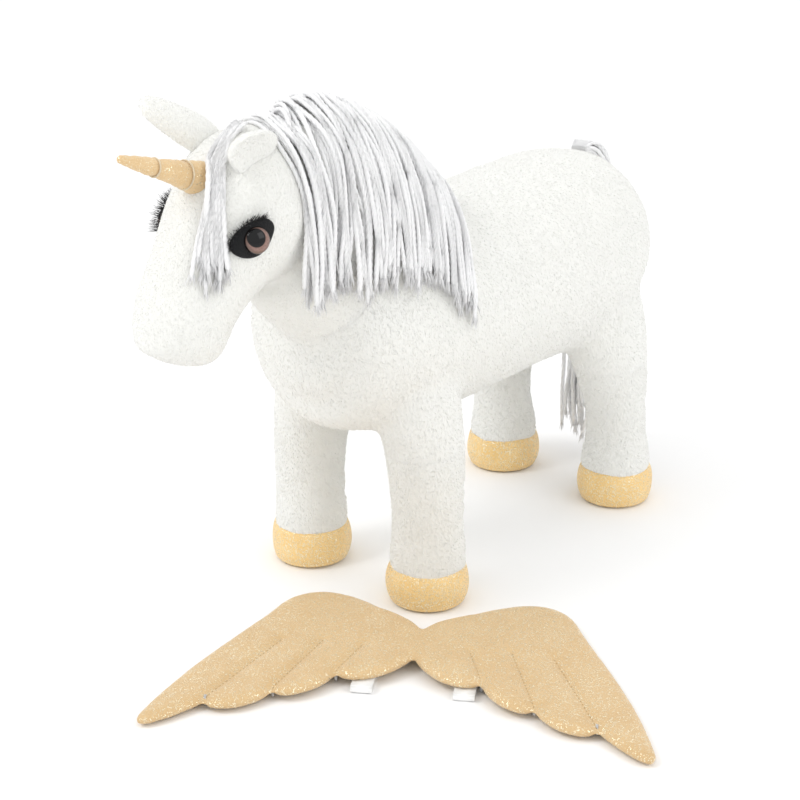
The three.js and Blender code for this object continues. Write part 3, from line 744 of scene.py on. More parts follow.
def pile(name, ground, spacing, length, lean, seed, keep=None):
    """Tufts over a piece, spacing and length in millimetres, lean as a slope."""
    rng = np.random.default_rng(seed)
    data = ground.data
    data.calc_loop_triangles()
    corners = np.array([triangle.vertices[:] for triangle in data.loop_triangles
                        if data.polygons[triangle.polygon_index].use_smooth])
    points, normals = per_vertex(ground, "co"), per_vertex(ground, "normal")
    a, b, c = (points[corners[:, k]] for k in range(3))
    areas = np.linalg.norm(np.cross(b - a, c - a), axis=1) / 2
    wanted = areas / (spacing * MM) ** 2
    number = np.floor(wanted + rng.random(len(areas))).astype(int)
    chosen = np.repeat(np.arange(len(areas)), number)
    weights = rng.dirichlet((1, 1, 1), len(chosen))[:, :, None]
    roots = (points[corners[chosen]] * weights).sum(1)
    ways = unit((normals[corners[chosen]] * weights).sum(1))
    spots = (roots - np.array(MIDDLE)) / MM
    if keep is not None:
        kept = keep(spots)
        roots, ways, spots = roots[kept], ways[kept], spots[kept]
    nap = nap_of(spots) + rng.normal(0, NAP_SPREAD, spots.shape)
    nap -= ways * (nap * ways).sum(1, keepdims=True)
    stem = unit(ways + lean * unit(nap))
    across = unit(np.cross(stem, rng.normal(0, 1, stem.shape)))
    tall = length * MM * rng.uniform(0.65, 1.15, len(roots))[:, None, None]
    wide = spacing * PILE_WIDTH * MM
    made = tufts(name, roots - ways * ROOT_DEPTH, stem, across, wide, tall, ground.data.materials[0])
    grid = math.ceil(math.sqrt(len(roots)))
    cell = np.arange(len(roots))
    corner = np.stack([cell % grid, cell // grid], 1)[:, None]
    square = np.array([[0.1, 0.1], [0.9, 0.1], [0.5, 0.5], [0.5, 0.9]])
    map_points(made, "OFBake", (corner + square[None]) / grid)
    return made


print("the nap on a leg runs along", nap_of(np.zeros((1, 3)))[0].tolist())

# %% The pile of the hide
piles = [pile("body_pile", body, 2.1, 2.4, 1.3, 11),
         pile("head_pile", head, 1.5, 2.0, 1.3, 12, clear_of_eyes)]
for number, leg in enumerate(legs.values()):
    piles.append(pile(leg.name.replace("hide", "pile"), leg, 1.6, 2.5, 1.2, 20 + number))
for ground, fur in zip((body, head, *legs.values()), piles):
    for made in (ground, fur):
        riding[ground.name](made)
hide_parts("trunk_cover_left", "trunk_cover_right", "trunk_filling")
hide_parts("head_cover_left", "head_cover_right", "head_filling")
for (end, side_name), leg in legs.items():
    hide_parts(*(f"{part}_{end}_{side_name}" for part in ("leg_cover", "leg_filling", "leg_rod")))
print("tufts:", {fur.name: len(fur.data.polygons) // 4 for fur in piles})

# %% [markdown]
# ## Hooves
# A hoof is a round bag of gold velour, pushed out by the wadding above a flat sole, with the seam of
# the sole low on its side. One outline turned once round the leg with `spin` makes it, the seam
# being a small dip in the outline. The first and last points of the outline lie on the axis, and
# merging doubles closes the poles.

# %% Turning the hooves
HOOF = [
    (0, 0.3), (22, 0.3), (26.6, 0.9), (28.4, 2.2), (29.0, 3.4), (28.7, 4.1), (29.5, 4.8), (30.8, 8),
    (31.5, 13), (31.4, 18), (30.8, 23), (29.8, 27), (28.6, 30), (26.5, 31.5), (0, 31.5),
]
SOLE_HEIGHT, HOOF_SWELL, HOOF_LUMP = 0.004, 0.006, 0.0012


def turned(outline, centre, steps=64, way=Vector((0, 0, 1))):
    """A mesh turned once round an axis, from an outline of (radius, height) in millimetres."""
    bm = bmesh.new()
    turn = way.to_track_quat("Z", "Y").to_matrix().to_4x4()
    line = [bm.verts.new(Vector((radius, 0, height)) * MM) for radius, height in outline]
    edges = [bm.edges.new(pair) for pair in zip(line, line[1:])]
    bmesh.ops.spin(bm, geom=line + edges, cent=(0, 0, 0), axis=(0, 0, 1), angle=2 * math.pi, steps=steps,
                   use_merge=True)
    bmesh.ops.remove_doubles(bm, verts=bm.verts[:], dist=1e-6)
    bmesh.ops.transform(bm, matrix=Matrix.Translation(centre) @ turn, verts=bm.verts[:])
    return bm


for end in ENDS:
    for side_name, side in SIDES:
        centre = place(side * LEG_OUT, LEG_ALONG[end], 0)
        hoof = piece(f"hoof_{end}_{side_name}", turned(HOOF, centre), HOOF_CLOTH)
        spots = per_vertex(hoof, "co")
        lumps = np.array([noise.noise(Vector(p) * 55) for p in spots])
        outward = unit((spots - np.array(centre)) * [1, 1, 0])
        raised = np.clip((spots[:, 2] - SOLE_HEIGHT) / HOOF_SWELL, 0, 1)
        moved(hoof, spots + outward * (lumps * raised * HOOF_LUMP)[:, None])
        soft = hoof.modifiers.new("round", "SUBSURF")
        soft.levels = soft.render_levels = 1
        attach(hoof, f"leg_{end}_{side_name}")
        hidden = ("hoof_cover", "hoof_sole", "sole_board")
        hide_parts(*(f"{part}_{end}_{side_name}" for part in hidden))

# %% [markdown]
# ## One strand of yarn
# The mane, the forelock and the tail are cotton yarn of three plies. A circle with three soft lobes,
# swept by `spin` with a turn and a step forward at once, gives a straight twisted strand in one
# call. It is made once for each bundle, and then every vertex of a copy is carried from the straight
# strand to a curved one: its height picks a place on the curve, and its two other coordinates stay
# beside it. The last few millimetres come apart into loose fibres, which are slim tufts.

# %% The straight strand
YARN_RADIUS = 1.6
RING_TURN = math.radians(57.6)
PLIES, PLY_DEPTH = 3, 0.17


def straight_strand(rings):
    """Points (across, across, share of the length), faces, and the lay of each face corner."""
    bm = bmesh.new()
    ring = bmesh.ops.create_circle(bm, segments=3 * PLIES, radius=1)["verts"]
    for vert in ring:
        turn = math.atan2(vert.co.y, vert.co.x)
        vert.co *= 1 + PLY_DEPTH * math.cos(PLIES * turn)
    edges = list({edge for vert in ring for edge in vert.link_edges})
    spun = bmesh.ops.spin(bm, geom=ring + edges, cent=(0, 0, 0), axis=(0, 0, 1), dvec=(0, 0, 1),
                          angle=RING_TURN * (rings - 1), steps=rings - 1)
    last = [part for part in spun["geom_last"] if isinstance(part, bmesh.types.BMEdge)]
    for end in (edges, last):
        bmesh.ops.holes_fill(bm, edges=end, sides=0)
    bmesh.ops.recalc_face_normals(bm, faces=bm.faces[:])
    bmesh.ops.triangulate(bm, faces=bm.faces[:])
    bm.verts.index_update()
    points = np.array([vert.co[:] for vert in bm.verts])
    faces = np.array([[vert.index for vert in face.verts] for face in bm.faces])
    bm.free()
    turn = np.arctan2(points[:, 1], points[:, 0]) - RING_TURN * points[:, 2]
    around = (turn / (2 * math.pi) % 1)[faces]
    around = np.where(around - around.min(1, keepdims=True) > 0.5, around - 1, around)
    points[:, 2] /= rings - 1
    lay = np.stack([around, points[faces, 2]], 2)
    return points, faces, lay


print("a strand of 70 rings has", len(straight_strand(70)[1]), "triangles")

# %% [markdown]
# ## Letting yarn fall
# Each strand starts at the stitching with a heading and grows in short steps. At each step its
# heading turns a little towards the ground, and a point that would sink into the hide is put back
# outside it by the strand's own layer height. That is the whole of draping: the strand lies on the
# neck where it can and hangs free where the neck turns in below it. A small drift keeps the strands
# from lying like a comb. It comes from `noise_vector`, which takes its offsets from the clock unless
# `seed_set` gives it a number, and then the yarn would fall another way on each run.

# %% Draping
STEP = 2.5
MOST_STEPS = 140
DRIFT, DRIFT_SEED = 0.058, 2
noise.seed_set(DRIFT_SEED)


def draped(start, heading, ends, lift, sag, rng, keep_off=(), push=(1, 1, 1), fall=(0, 0, -1)):
    """A strand's line in metres, grown until ends(point) is true.

    Lift is its height over the hide in millimetres, and sag is how fast it turns to the fall. Each bar in
    keep_off is a centre, an axis and a radius, and yarn passes it on the animal's left. Push weighs the
    way in which the hide pushes yarn out.
    """
    point, way, line = start.copy(), heading.normalized(), [start.copy()]
    sway = Vector(rng.normal(0, 1, 3))
    while len(line) < MOST_STEPS and not ends(point):
        drift = DRIFT * Vector(noise.noise_vector(point * 36 + sway))
        way = (way * (1 - sag) + Vector(fall) * sag + drift).normalized()
        after = point + way * STEP * MM
        for centre, axis, radius in keep_off:
            offset = after - centre - axis * (after - centre).dot(axis)
            offset.x = abs(offset.x) + 0.001
            if offset.length < radius:
                after += offset.normalized() * (radius - offset.length)
        near, normal, _, _ = hide_surface.find_nearest(after)
        height = (after - near).dot(normal)
        if height < lift * MM:
            after += normal * Vector(push) * (lift * MM - height)
        way = (after - point).normalized()
        point = after
        line.append(point.copy())
    return np.array([p[:] for p in line])


def resampled(line, rings):
    """The line at so many evenly spaced places, its steps smoothed a little, and its length."""
    for _ in range(3):
        line[1:-1] = 0.25 * line[:-2] + 0.5 * line[1:-1] + 0.25 * line[2:]
    reach = np.concatenate([[0], np.cumsum(np.linalg.norm(np.diff(line, axis=0), axis=1))])
    at = np.linspace(0, reach[-1], rings)
    return np.stack([np.interp(at, reach, line[:, k]) for k in range(3)], 1), reach[-1]


print("a strand has at most", MOST_STEPS * STEP, "mm of yarn")

# %% Bundles and their frayed ends
FRAY_LENGTH, FIBRE_RADIUS, FIBRES = 0.007, 0.0007, 9


def yarn_bundle(name, lines, rings, reference, rng):
    """All strands of a bundle as one piece, with frayed ends as a second one."""
    template, faces, lay = straight_strand(rings)
    ring = np.rint(template[:, 2] * (rings - 1)).astype(int)
    centres, lengths = zip(*(resampled(line, rings) for line in lines))
    centres, lengths = np.array(centres), np.array(lengths)
    along = unit(np.gradient(centres, axis=1))
    side = unit(np.cross(along, reference))
    front = np.cross(along, side)
    left = (1 - template[:, 2])[None] * lengths[:, None]
    thinning = 0.55 + 0.45 * np.clip(left / FRAY_LENGTH, 0, 1)
    girth = YARN_RADIUS * MM * rng.uniform(0.88, 1.12, len(lines))[:, None] * thinning
    spin = rng.uniform(0, 2 * math.pi, len(lines))[:, None]
    flat = template[:, 0] + 1j * template[:, 1]
    turned_flat = flat[None] * np.exp(1j * spin) * girth
    sideways = turned_flat.real[..., None] * side[:, ring]
    points = centres[:, ring] + sideways + turned_flat.imag[..., None] * front[:, ring]
    bundle = copies(name, points, faces, WHITE_YARN)
    bundle.data.shade_smooth()
    lay_map = bundle.data.uv_layers.new(name="lay")
    tall = np.broadcast_to(lay[None], (len(lines), *lay.shape)).copy()
    tall[..., 1] *= lengths[:, None, None]
    lay_map.data.foreach_set("uv", tall.ravel())
    bake = bundle.data.uv_layers.new(name="OFBake")
    strip = np.broadcast_to(lay[None], tall.shape).copy()
    strip[..., 0] = (np.arange(len(lines))[:, None, None] + 0.25 + 0.6 * strip[..., 0]) / len(lines)
    bake.data.foreach_set("uv", strip.ravel())
    return bundle, fringe(name + "_ends", centres[:, -1], along[:, -1], rng)


def fringe(name, tips, ways, rng):
    """Loose fibres that spread from each strand's end."""
    roots = np.repeat(tips - ways * 0.004, FIBRES, 0)
    away = np.repeat(ways, FIBRES, 0)
    spread = rng.normal(0, 1, roots.shape)
    spread -= away * (spread * away).sum(1, keepdims=True)
    stem = unit(away + 0.16 * spread)
    across = unit(np.cross(stem, spread))
    tall = rng.uniform(0.006, 0.0105, len(roots))[:, None, None]
    made = tufts(name, roots + FIBRE_RADIUS * spread, stem, across, FIBRE_RADIUS, tall, WHITE_YARN)
    count = len(roots)
    corners = np.tile([[0.1, 0.0], [0.9, 0.0], [0.5, 0.3], [0.5, 1.0]], (count, 1)).reshape(count, 4, 2)
    strips = corners.copy()
    strips[..., 0] = (np.arange(count)[:, None] + corners[..., 0]) / count
    map_points(made, "lay", corners * [1, 0.015])
    map_points(made, "OFBake", strips)
    return made


def top_of_hide(x, y):
    """The highest point of the hide at a place on the animal, in metres."""
    return hide_surface.ray_cast(place(x, y, 500), Vector((0, 0, -1)))[0]


print("the crest stands", round(top_of_hide(0, -200).z * 1000), "mm high above the front of the neck")

# %% [markdown]
# ## Mane
# The mane is sewn along the crest from between the ears to the withers, in three layers, and all of
# it falls to the left. The ends make a ragged line, low at the front, higher at the middle of the
# neck and lowest over the shoulder, so the height at which a strand ends is read off a short table.
# Strands near the withers are sewn slanting, square to the sloping crest, and fall forward.

# %% Making the mane
MANE_ENDS = np.array([(-262, 272), (-248, 268), (-232, 262), (-215, 268), (-200, 264), (-185, 265),
                      (-170, 267), (-150, 262), (-130, 258), (-110, 240), (-95, 226), (-80, 217), (-60, 204)])
MANE_COUNT, CREST_START, CREST_LENGTH = 146, -239, 177
rng = np.random.default_rng(5)
mane_lines = []
for number in range(MANE_COUNT):
    share = (number + rng.uniform(0.2, 0.8)) / MANE_COUNT
    y = CREST_START + CREST_LENGTH * share
    layer = number % 3
    start = top_of_hide(rng.uniform(-9, -2), y) + Vector((0, 0, 1.2 + 1.9 * layer)) * MM
    slant = -0.1 * (1 - share) - 0.28 * share**2 + rng.normal(0, 0.05)
    ragged = rng.normal(0, 5)

    def low_enough(point, ragged=ragged):
        spot = (point - MIDDLE) / MM
        return spot.x > 25 and spot.z < np.interp(spot.y, *MANE_ENDS.T) + ragged

    mane_lines.append(draped(start, Vector((1, slant, 0.1)), low_enough, 1.7 + 2.3 * layer, 0.17, rng,
                             push=(1, 0.25, 1), fall=(0, -0.33 * share**2, -1)))
mane, mane_ends = yarn_bundle("mane_yarn_strands", mane_lines, 68, (0, 1, 0), rng)
for made in (mane, mane_ends):
    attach(made, "trunk")
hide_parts("mane_yarn", "mane_tape")
print("mane:", len(mane_lines), "strands,", len(mane.data.polygons), "triangles")

# %% [markdown]
# ## Forelock and tail
# The forelock comes forward between the ears, passes the horn on its left and spreads over the
# forehead. The tail is a thick hank that leaves the top of the rump, bends over it and hangs to just
# above the ground, its ends cut in steps. Both are draped like the mane: the horn is a round bar
# that the forelock may not enter.

# %% Making the forelock
HORN_BASE, HORN_TILT = place(0, -272, 342), math.radians(21)
HORN_WAY = Vector((0, -math.cos(HORN_TILT), math.sin(HORN_TILT)))
HORN_BAR = (HORN_BASE, HORN_WAY, 15.5 * MM)
FORELOCK_COUNT = 27
rng = np.random.default_rng(8)
forelock_lines = []
for number in range(FORELOCK_COUNT):
    share = (number + 0.5) / FORELOCK_COUNT
    layer = number % 2
    start = top_of_hide(-4 + 10 * share, -250 - 6 * rng.random()) + Vector((0, 0, 1.8 + 2.4 * layer)) * MM
    low = 293 + rng.normal(0, 5) + 6 * share
    forelock_lines.append(draped(start, Vector((0.5 - 0.32 * share, -1, 0.1)),
                                 lambda point, low=low: point.z < low * MM, 2.0 + 2.2 * layer, 0.12, rng,
                                 keep_off=[HORN_BAR]))
forelock, forelock_ends = yarn_bundle("forelock_strands", forelock_lines, 46, (1, 0, 0), rng)
for made in (forelock, forelock_ends):
    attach(made, "head")
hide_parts("forelock_yarn")
print("forelock:", FORELOCK_COUNT, "strands,", len(forelock.data.polygons), "triangles")

# %% Making the tail
TAIL_COUNT, RUMP = 58, 147
tail_lines = []
for number in range(TAIL_COUNT):
    share = (number + 0.5) / TAIL_COUNT
    layer = number % 3
    x = -42 + 46 * share
    start = top_of_hide(0.25 * x, RUMP) + Vector((0, 0, 0.6 + 1.5 * layer)) * MM
    low = rng.choice([20, 28, 38, 50]) + rng.normal(0, 2)
    tail_lines.append(draped(start, Vector((0.02 * x, 1, -0.1)), lambda point, low=low: point.z < low * MM,
                             1.5 + 2.2 * layer, 0.12, rng, push=(0.3, 1, 1)))
tail, tail_ends = yarn_bundle("tail_strands", tail_lines, 92, (1, 0, 0), rng)
for made in (tail, tail_ends):
    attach(made, "tail")
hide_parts("tail_yarn")
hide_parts("tail_patch")
print("tail:", TAIL_COUNT, "strands,", len(tail.data.polygons), "triangles")

# %% [markdown]
# ## Ears
# An ear is two leaves of plush sewn together and left a little open, so it is full at the back and
# hollow in front. The loft's rings take a shape function: the back half of each ring stays round,
# and the front half is pushed in like a bowl.

# %% Making the ears
EAR = ((-0.12, 0.62), (0, 0.86), (0.19, 1.0), (0.44, 0.96), (0.69, 0.8), (0.87, 0.62), (0.96, 0.42),
       (1.0, 0.16))
EAR_WAYS = {1: Vector((0.4, -0.84, 0.3)).normalized(), -1: Vector((-0.36, -0.74, 0.54)).normalized()}
EAR_OPENS = Vector((0.9, -0.35, -0.1))
EAR_LENGTH, EAR_HALF_WIDTH, EAR_HALF_DEPTH, EAR_HOLLOW = 57, 16.4, 10.5, 2.2


def cupped(local, row):
    """The front of a ring pushed in, deepest in the middle."""
    half_width, depth = row[3] * MM, row[4] * MM
    if local.y < 0:
        bowl = 0.6 * depth * (1 - (local.x / half_width) ** 2)
        local.y = 0.4 * local.y + bowl * min(1, max(0, row[5]))
    return local


for side_name, side in SIDES:
    way = EAR_WAYS[side]
    root = Vector((side * 25.2, -254, 362))
    stations = [[*(root + way * share * EAR_LENGTH), EAR_HALF_WIDTH * width, EAR_HALF_DEPTH * width,
                 EAR_HOLLOW * share] for share, width in EAR]
    bm = bmesh.new()
    loft(bm, stations, sides=32, steps=4, shape=cupped)
    opening = way.cross(way.cross(UP)).normalized()
    wanted = Vector((side * EAR_OPENS.x, EAR_OPENS.y, EAR_OPENS.z))
    wanted = (wanted - way * wanted.dot(way)).normalized()
    roll = math.atan2(way.dot(opening.cross(wanted)), opening.dot(wanted))
    bmesh.ops.rotate(bm, cent=place(*root), matrix=Matrix.Rotation(roll, 3, way), verts=bm.verts[:])
    ear = piece(f"ear_{side_name}_plush", bm, WHITE_PLUSH)
    fur = pile(f"ear_{side_name}_pile", ear, 1.4, 1.9, 1.3, 30 + side)
    for made in (ear, fur):
        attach(made, f"ear_{side_name}")
    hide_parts(f"ear_back_{side_name}", f"ear_lining_{side_name}")
    print(side_name, "ear rolled", round(math.degrees(roll)), "degrees")

# %% [markdown]
# ## Horn
# The horn is a stuffed cone of satin whose seam draws it into small wrinkles, with two turns of pale
# thread pulled tight round it. The cone is turned from an outline that dips under each thread, and
# noise stretched round it makes the wrinkles. The threads are thin rings of their own.

# %% Making the horn
THREADS = (0.36, 0.66)
HORN_ROOT, HORN_TAPER, HORN_LENGTH = 13.6, 11.2, 92
THREAD_RADIUS, THREAD_BITE, THREAD_TILT = 0.0006, 0.1, math.radians(7)
heights = np.linspace(-8, 91, 67)
share = np.clip(heights / HORN_LENGTH, 0, 1)
radii = HORN_ROOT - HORN_TAPER * share - sum(0.75 * bell(share - at, 0.035) for at in THREADS)
radii = radii + 0.35 * np.sin(share * math.pi * 3)
outline = [(0, -8), *zip(radii, heights), (1.7, 92.0), (0.9, 92.8), (0, 93)]
horn = piece("horn_satin", turned(outline, HORN_BASE, steps=72, way=HORN_WAY), HORN_CLOTH)
points, normals = per_vertex(horn, "co"), per_vertex(horn, "normal")
HORN_TURN = HORN_WAY.to_track_quat("Z", "Y").to_matrix()
local = (points - np.array(HORN_BASE)) @ np.array(HORN_TURN)
creases = np.array([noise.noise(Vector((x * 70, y * 70, z * 260))) for x, y, z in local])
near_threads = sum(bell(local[:, 2] / (HORN_LENGTH * MM) - at, 0.13) for at in THREADS)
moved(horn, points + normals * (creases * (0.35 + 0.55 * near_threads) * MM)[:, None])
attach(horn, "head")
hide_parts("horn_cover", "horn_filling")
for name, at in zip(("near", "far"), THREADS):
    bm = bmesh.new()
    radius = (HORN_ROOT - HORN_TAPER * at - THREAD_BITE) * MM
    upright = Matrix.Translation((radius, 0, 0)) @ Matrix.Rotation(math.pi / 2, 4, "X")
    bead = bmesh.ops.create_circle(bm, segments=8, radius=THREAD_RADIUS, matrix=upright)
    loop = list({edge for vert in bead["verts"] for edge in vert.link_edges})
    bmesh.ops.spin(bm, geom=bead["verts"] + loop, cent=(0, 0, 0), axis=(0, 0, 1), angle=2 * math.pi, steps=48,
                   use_merge=True)
    bmesh.ops.recalc_face_normals(bm, faces=bm.faces[:])
    seat = Matrix.Translation(HORN_BASE + HORN_WAY * at * (HORN_LENGTH * MM)) @ HORN_TURN.to_4x4()
    bmesh.ops.transform(bm, matrix=seat @ Matrix.Rotation(THREAD_TILT, 4, "X"), verts=bm.verts[:])
    thread = piece(f"horn_thread_{name}_winding", bm, PALE_THREAD)
    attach(thread, "head")
    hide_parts(f"horn_thread_{name}")
print("horn:", len(horn.data.polygons), "faces")

# %% [markdown]
# ## Eyes
# A toy's eye is a domed button of clear plastic, printed behind with a brown iris and a black pupil.
# It sits on an almond of black felt with short lashes along its upper edge. The dome is turned from
# its outline. Its own map, laid straight through the dome, places the iris, and the pupil is a
# little nearer the nose. The felt is a disc of rings, shaped as an almond, dropped onto the cheek
# and thickened. The right side is the mirror image of the left, so a reflection matrix makes it.

# %% Eye finish
def glass_eye():
    finish = Finish("brown_glass_eye", roughness=0.03, specular_ior_level=0.28, coat_weight=0.1,
                    coat_roughness=0.02)
    where = finish.node("ShaderNodeUVMap", {"uv_map": "iris"})
    x = finish.node("ShaderNodeSeparateXYZ", None, {"Vector": where}, "X")
    y = x.output("Y")
    rim = ((x - 0.5) ** 2 + (y - 0.5) ** 2) ** 0.5
    pupil = ((x - 0.49) ** 2 + (y - 0.64) ** 2) ** 0.5
    streaks = finish.grain(where, 14.0, 5.0, 0.6)
    iris = finish.mix(streaks, shade(96, 68, 60), shade(168, 138, 128))
    ringed = finish.mix(rim.above(0.40, 0.05), iris, shade(120, 98, 90))
    dark = finish.mix((1 - pupil.above(0.34, 0.03)), ringed, shade(8, 8, 10))
    finish.colour(finish.mix(rim.above(0.465, 0.02), dark, shade(26, 22, 22)))
    return finish.material


GLASS_EYE = glass_eye()
print("finish:", GLASS_EYE.name)

# %% The domes
DOME = [(0, -3), (8.6, -3), (9.0, -1.0), (9.1, 0.4), (8.8, 1.5), (8.1, 2.7), (7.0, 3.8), (5.5, 4.7),
        (3.6, 5.3), (1.8, 5.6), (0, 5.7)]
DOME_WIDTH = 18.2 * MM


def eye_dome(side_name, seat):
    """The button of one eye, with the map that places its iris."""
    dome = turned(DOME, Vector(), steps=48)
    iris = dome.loops.layers.uv.new("iris")
    for face in dome.faces:
        for loop in face.loops:
            loop[iris].uv = (0.5 + loop.vert.co.x / DOME_WIDTH, 0.5 + loop.vert.co.y / DOME_WIDTH)
    bmesh.ops.transform(dome, matrix=seat, verts=dome.verts[:])
    return piece(f"eye_{side_name}_dome", dome, GLASS_EYE)


print("a dome is", DOME[-1][1], "mm high")

# %% The felt almonds
FELT_SHARES = (1.0, 0.9, 0.75, 0.6, 0.45, 0.3, 0.15)
FELT_HEIGHT, FELT_THICKNESS, DROP = 0.0019, 0.0012, 0.03


def almond(share, turn):
    """A point of the felt's rings."""
    return Vector((math.cos(turn), math.sin(turn), 0)) * share * float(felt_reach(turn))


def felt_almond(side_name, seat, way):
    """The felt of one eye laid on the cheek, and the points along its edge."""
    patch = bmesh.new()
    rings = []
    for share in FELT_SHARES:
        ring = bmesh.ops.create_circle(patch, segments=56, radius=1)["verts"]
        for vert in ring:
            vert.co = almond(share, math.atan2(vert.co.y, vert.co.x)) * MM
        rings.append(list({edge for vert in ring for edge in vert.link_edges}))
    for near, far in zip(rings, rings[1:]):
        bmesh.ops.bridge_loops(patch, edges=near + far)
    bmesh.ops.holes_fill(patch, edges=rings[-1], sides=0)
    bmesh.ops.transform(patch, matrix=seat, verts=patch.verts[:])
    for vert in patch.verts:
        hit = hide_surface.ray_cast(vert.co + way * DROP, -way)[0]
        vert.co = hit + way * FELT_HEIGHT if hit else vert.co
    bmesh.ops.recalc_face_normals(patch, faces=patch.faces[:])
    if sum((face.normal for face in patch.faces), Vector()).dot(way) < 0:
        bmesh.ops.reverse_faces(patch, faces=patch.faces[:])
    rim = [vert.co.copy() for vert in patch.verts if vert.is_boundary]
    bmesh.ops.solidify(patch, geom=patch.faces[:], thickness=FELT_THICKNESS)
    return piece(f"felt_{side_name}_almond", patch, BLACK_FELT), rim


print("the felt has", len(FELT_SHARES), "rings")

# %% The lashes, and both eyes
LASHES_PER_POINT, LASH_RADIUS, LASH_LINE = 9, 0.00024, 0.0065


def lash_hairs(side_name, seat, way, rim, rng):
    """Hairs along the upper edge of the felt, leaning outwards."""
    above_eye = np.array([point[:] for point in rim if (seat.inverted() @ point).y > LASH_LINE])
    roots = np.repeat(above_eye, LASHES_PER_POINT, 0)
    roots = roots + rng.normal(0, 0.0007, roots.shape)
    out = unit(roots - np.array(seat.translation))
    stem = unit(np.array(way) + 0.55 * out + rng.normal(0, 0.2, roots.shape))
    across = unit(np.cross(stem, rng.normal(0, 1, stem.shape)))
    tall = rng.uniform(0.0045, 0.0085, len(roots))[:, None, None]
    return tufts(f"lashes_{side_name}_hairs", roots, stem, across, LASH_RADIUS, tall, BLACK_LASH)


for side_name, side in SIDES:
    seat = LEFT_EYE if side > 0 else REFLECT @ LEFT_EYE
    way = seat.to_3x3() @ Vector((0, 0, 1))
    button = eye_dome(side_name, seat)
    felt_patch, rim = felt_almond(side_name, seat, way)
    lashes = lash_hairs(side_name, seat, way, rim, np.random.default_rng(40 + side))
    for made, slot, nodes in ((button, "eye", (f"eye_{side_name}", f"eye_washer_{side_name}")),
                              (felt_patch, "black_felt", (f"felt_patch_{side_name}",)),
                              (lashes, "lash", (f"lashes_{side_name}",))):
        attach(made, "head")
        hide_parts(*nodes)
    print(side_name, "lashes:", len(lashes.data.polygons) // len(TUFT_FACES))

# %% [markdown]
# ## Wings
# The wings are one long cushion of gold velour with a seam down its middle. Each has three quilting
# seams that run in from the notches of its trailing edge. The outline is drawn with Bezier curves,
# extruded to a plate and remeshed evenly, and then every point takes its height from how far it is
# from the edge and from the nearest seam. That gives the rolled edges and the sunk seams. A cloth
# simulation would also puff the cushion, but it rounds off the notches that give the wing its shape.

# %% The wing's outline
WING_CENTRE = place(104, -186, 0)
WING_TURN = Matrix.Rotation(math.radians(31.5), 4, "Z")
HALF_SPAN, WING_LENGTH, ARCH, PUFF = 172, 206, 5.0, 4.4
WING_VOXEL = 0.0021
CURVES = [
    ((0, 0.02), (0.053, 0.087), (0.12, 0.135), (0.2, 0.165)),
    ((0.2, 0.165), (0.32, 0.25), (0.54, 0.36), (0.64, 0.16)),
    ((0.64, 0.16), (0.7, 0), (0.9, -0.28), (1, -0.66)),
    ((1, -0.66), (1.01, -0.74), (0.9, -0.68), (0.77, -0.54)),
    ((0.77, -0.54), (0.75, -0.61), (0.57, -0.56), (0.52, -0.45)),
    ((0.52, -0.45), (0.48, -0.5), (0.33, -0.43), (0.295, -0.315)),
    ((0.295, -0.315), (0.24, -0.36), (0.1, -0.35), (0, -0.18)),
]
SEAMS = [((132.4, -111.2), (97, -23)), ((89.4, -92.7), (67, -20)), ((50.7, -64.9), (38, -25))]


def bezier(curve, steps=14):
    """Points along a Bezier curve, given in shares of the half span and the wing's length."""
    a, b, c, d = (np.array(p) * [HALF_SPAN, WING_LENGTH] for p in curve)
    t = np.linspace(0, 1, steps, endpoint=False)[:, None]
    return (1 - t) ** 3 * a + 3 * (1 - t) ** 2 * t * b + 3 * (1 - t) * t**2 * c + t**3 * d


half = np.vstack([*(bezier(curve) for curve in CURVES), [[0, -0.18 * WING_LENGTH]]])
outline = np.vstack([half, (half * [-1, 1])[-2:0:-1]])
plate = bmesh.new()
corners = [plate.verts.new(Vector((u, v, -PUFF)) * MM) for u, v in outline]
bottom = plate.faces.new(corners)
risen = bmesh.ops.extrude_face_region(plate, geom=[bottom])["geom"]
top_corners = [part for part in risen if isinstance(part, bmesh.types.BMVert)]
bmesh.ops.translate(plate, vec=(0, 0, 2 * PUFF * MM), verts=top_corners)
wings = piece("wings", plate, WING_CLOTH)
even = wings.modifiers.new("even", "REMESH")
even.mode, even.voxel_size = "VOXEL", WING_VOXEL
applied(wings)
print("wing plate:", len(wings.data.vertices), "vertices")

# %% Puffing and quilting the wings
EDGE_ROLL, SEAM_WIDTH, LOW_POINT = 9, 3.2, 0.4


def to_segments(points, starts, ends):
    """Distance of each point to the nearest segment, in the plane."""
    best = np.full(len(points), np.inf)
    for a, b in zip(np.asarray(starts, float), np.asarray(ends, float)):
        t = np.clip(((points - a) @ (b - a)) / max((b - a) @ (b - a), 1e-9), 0, 1)
        best = np.minimum(best, np.linalg.norm(points - a - t[:, None] * (b - a), axis=1))
    return best


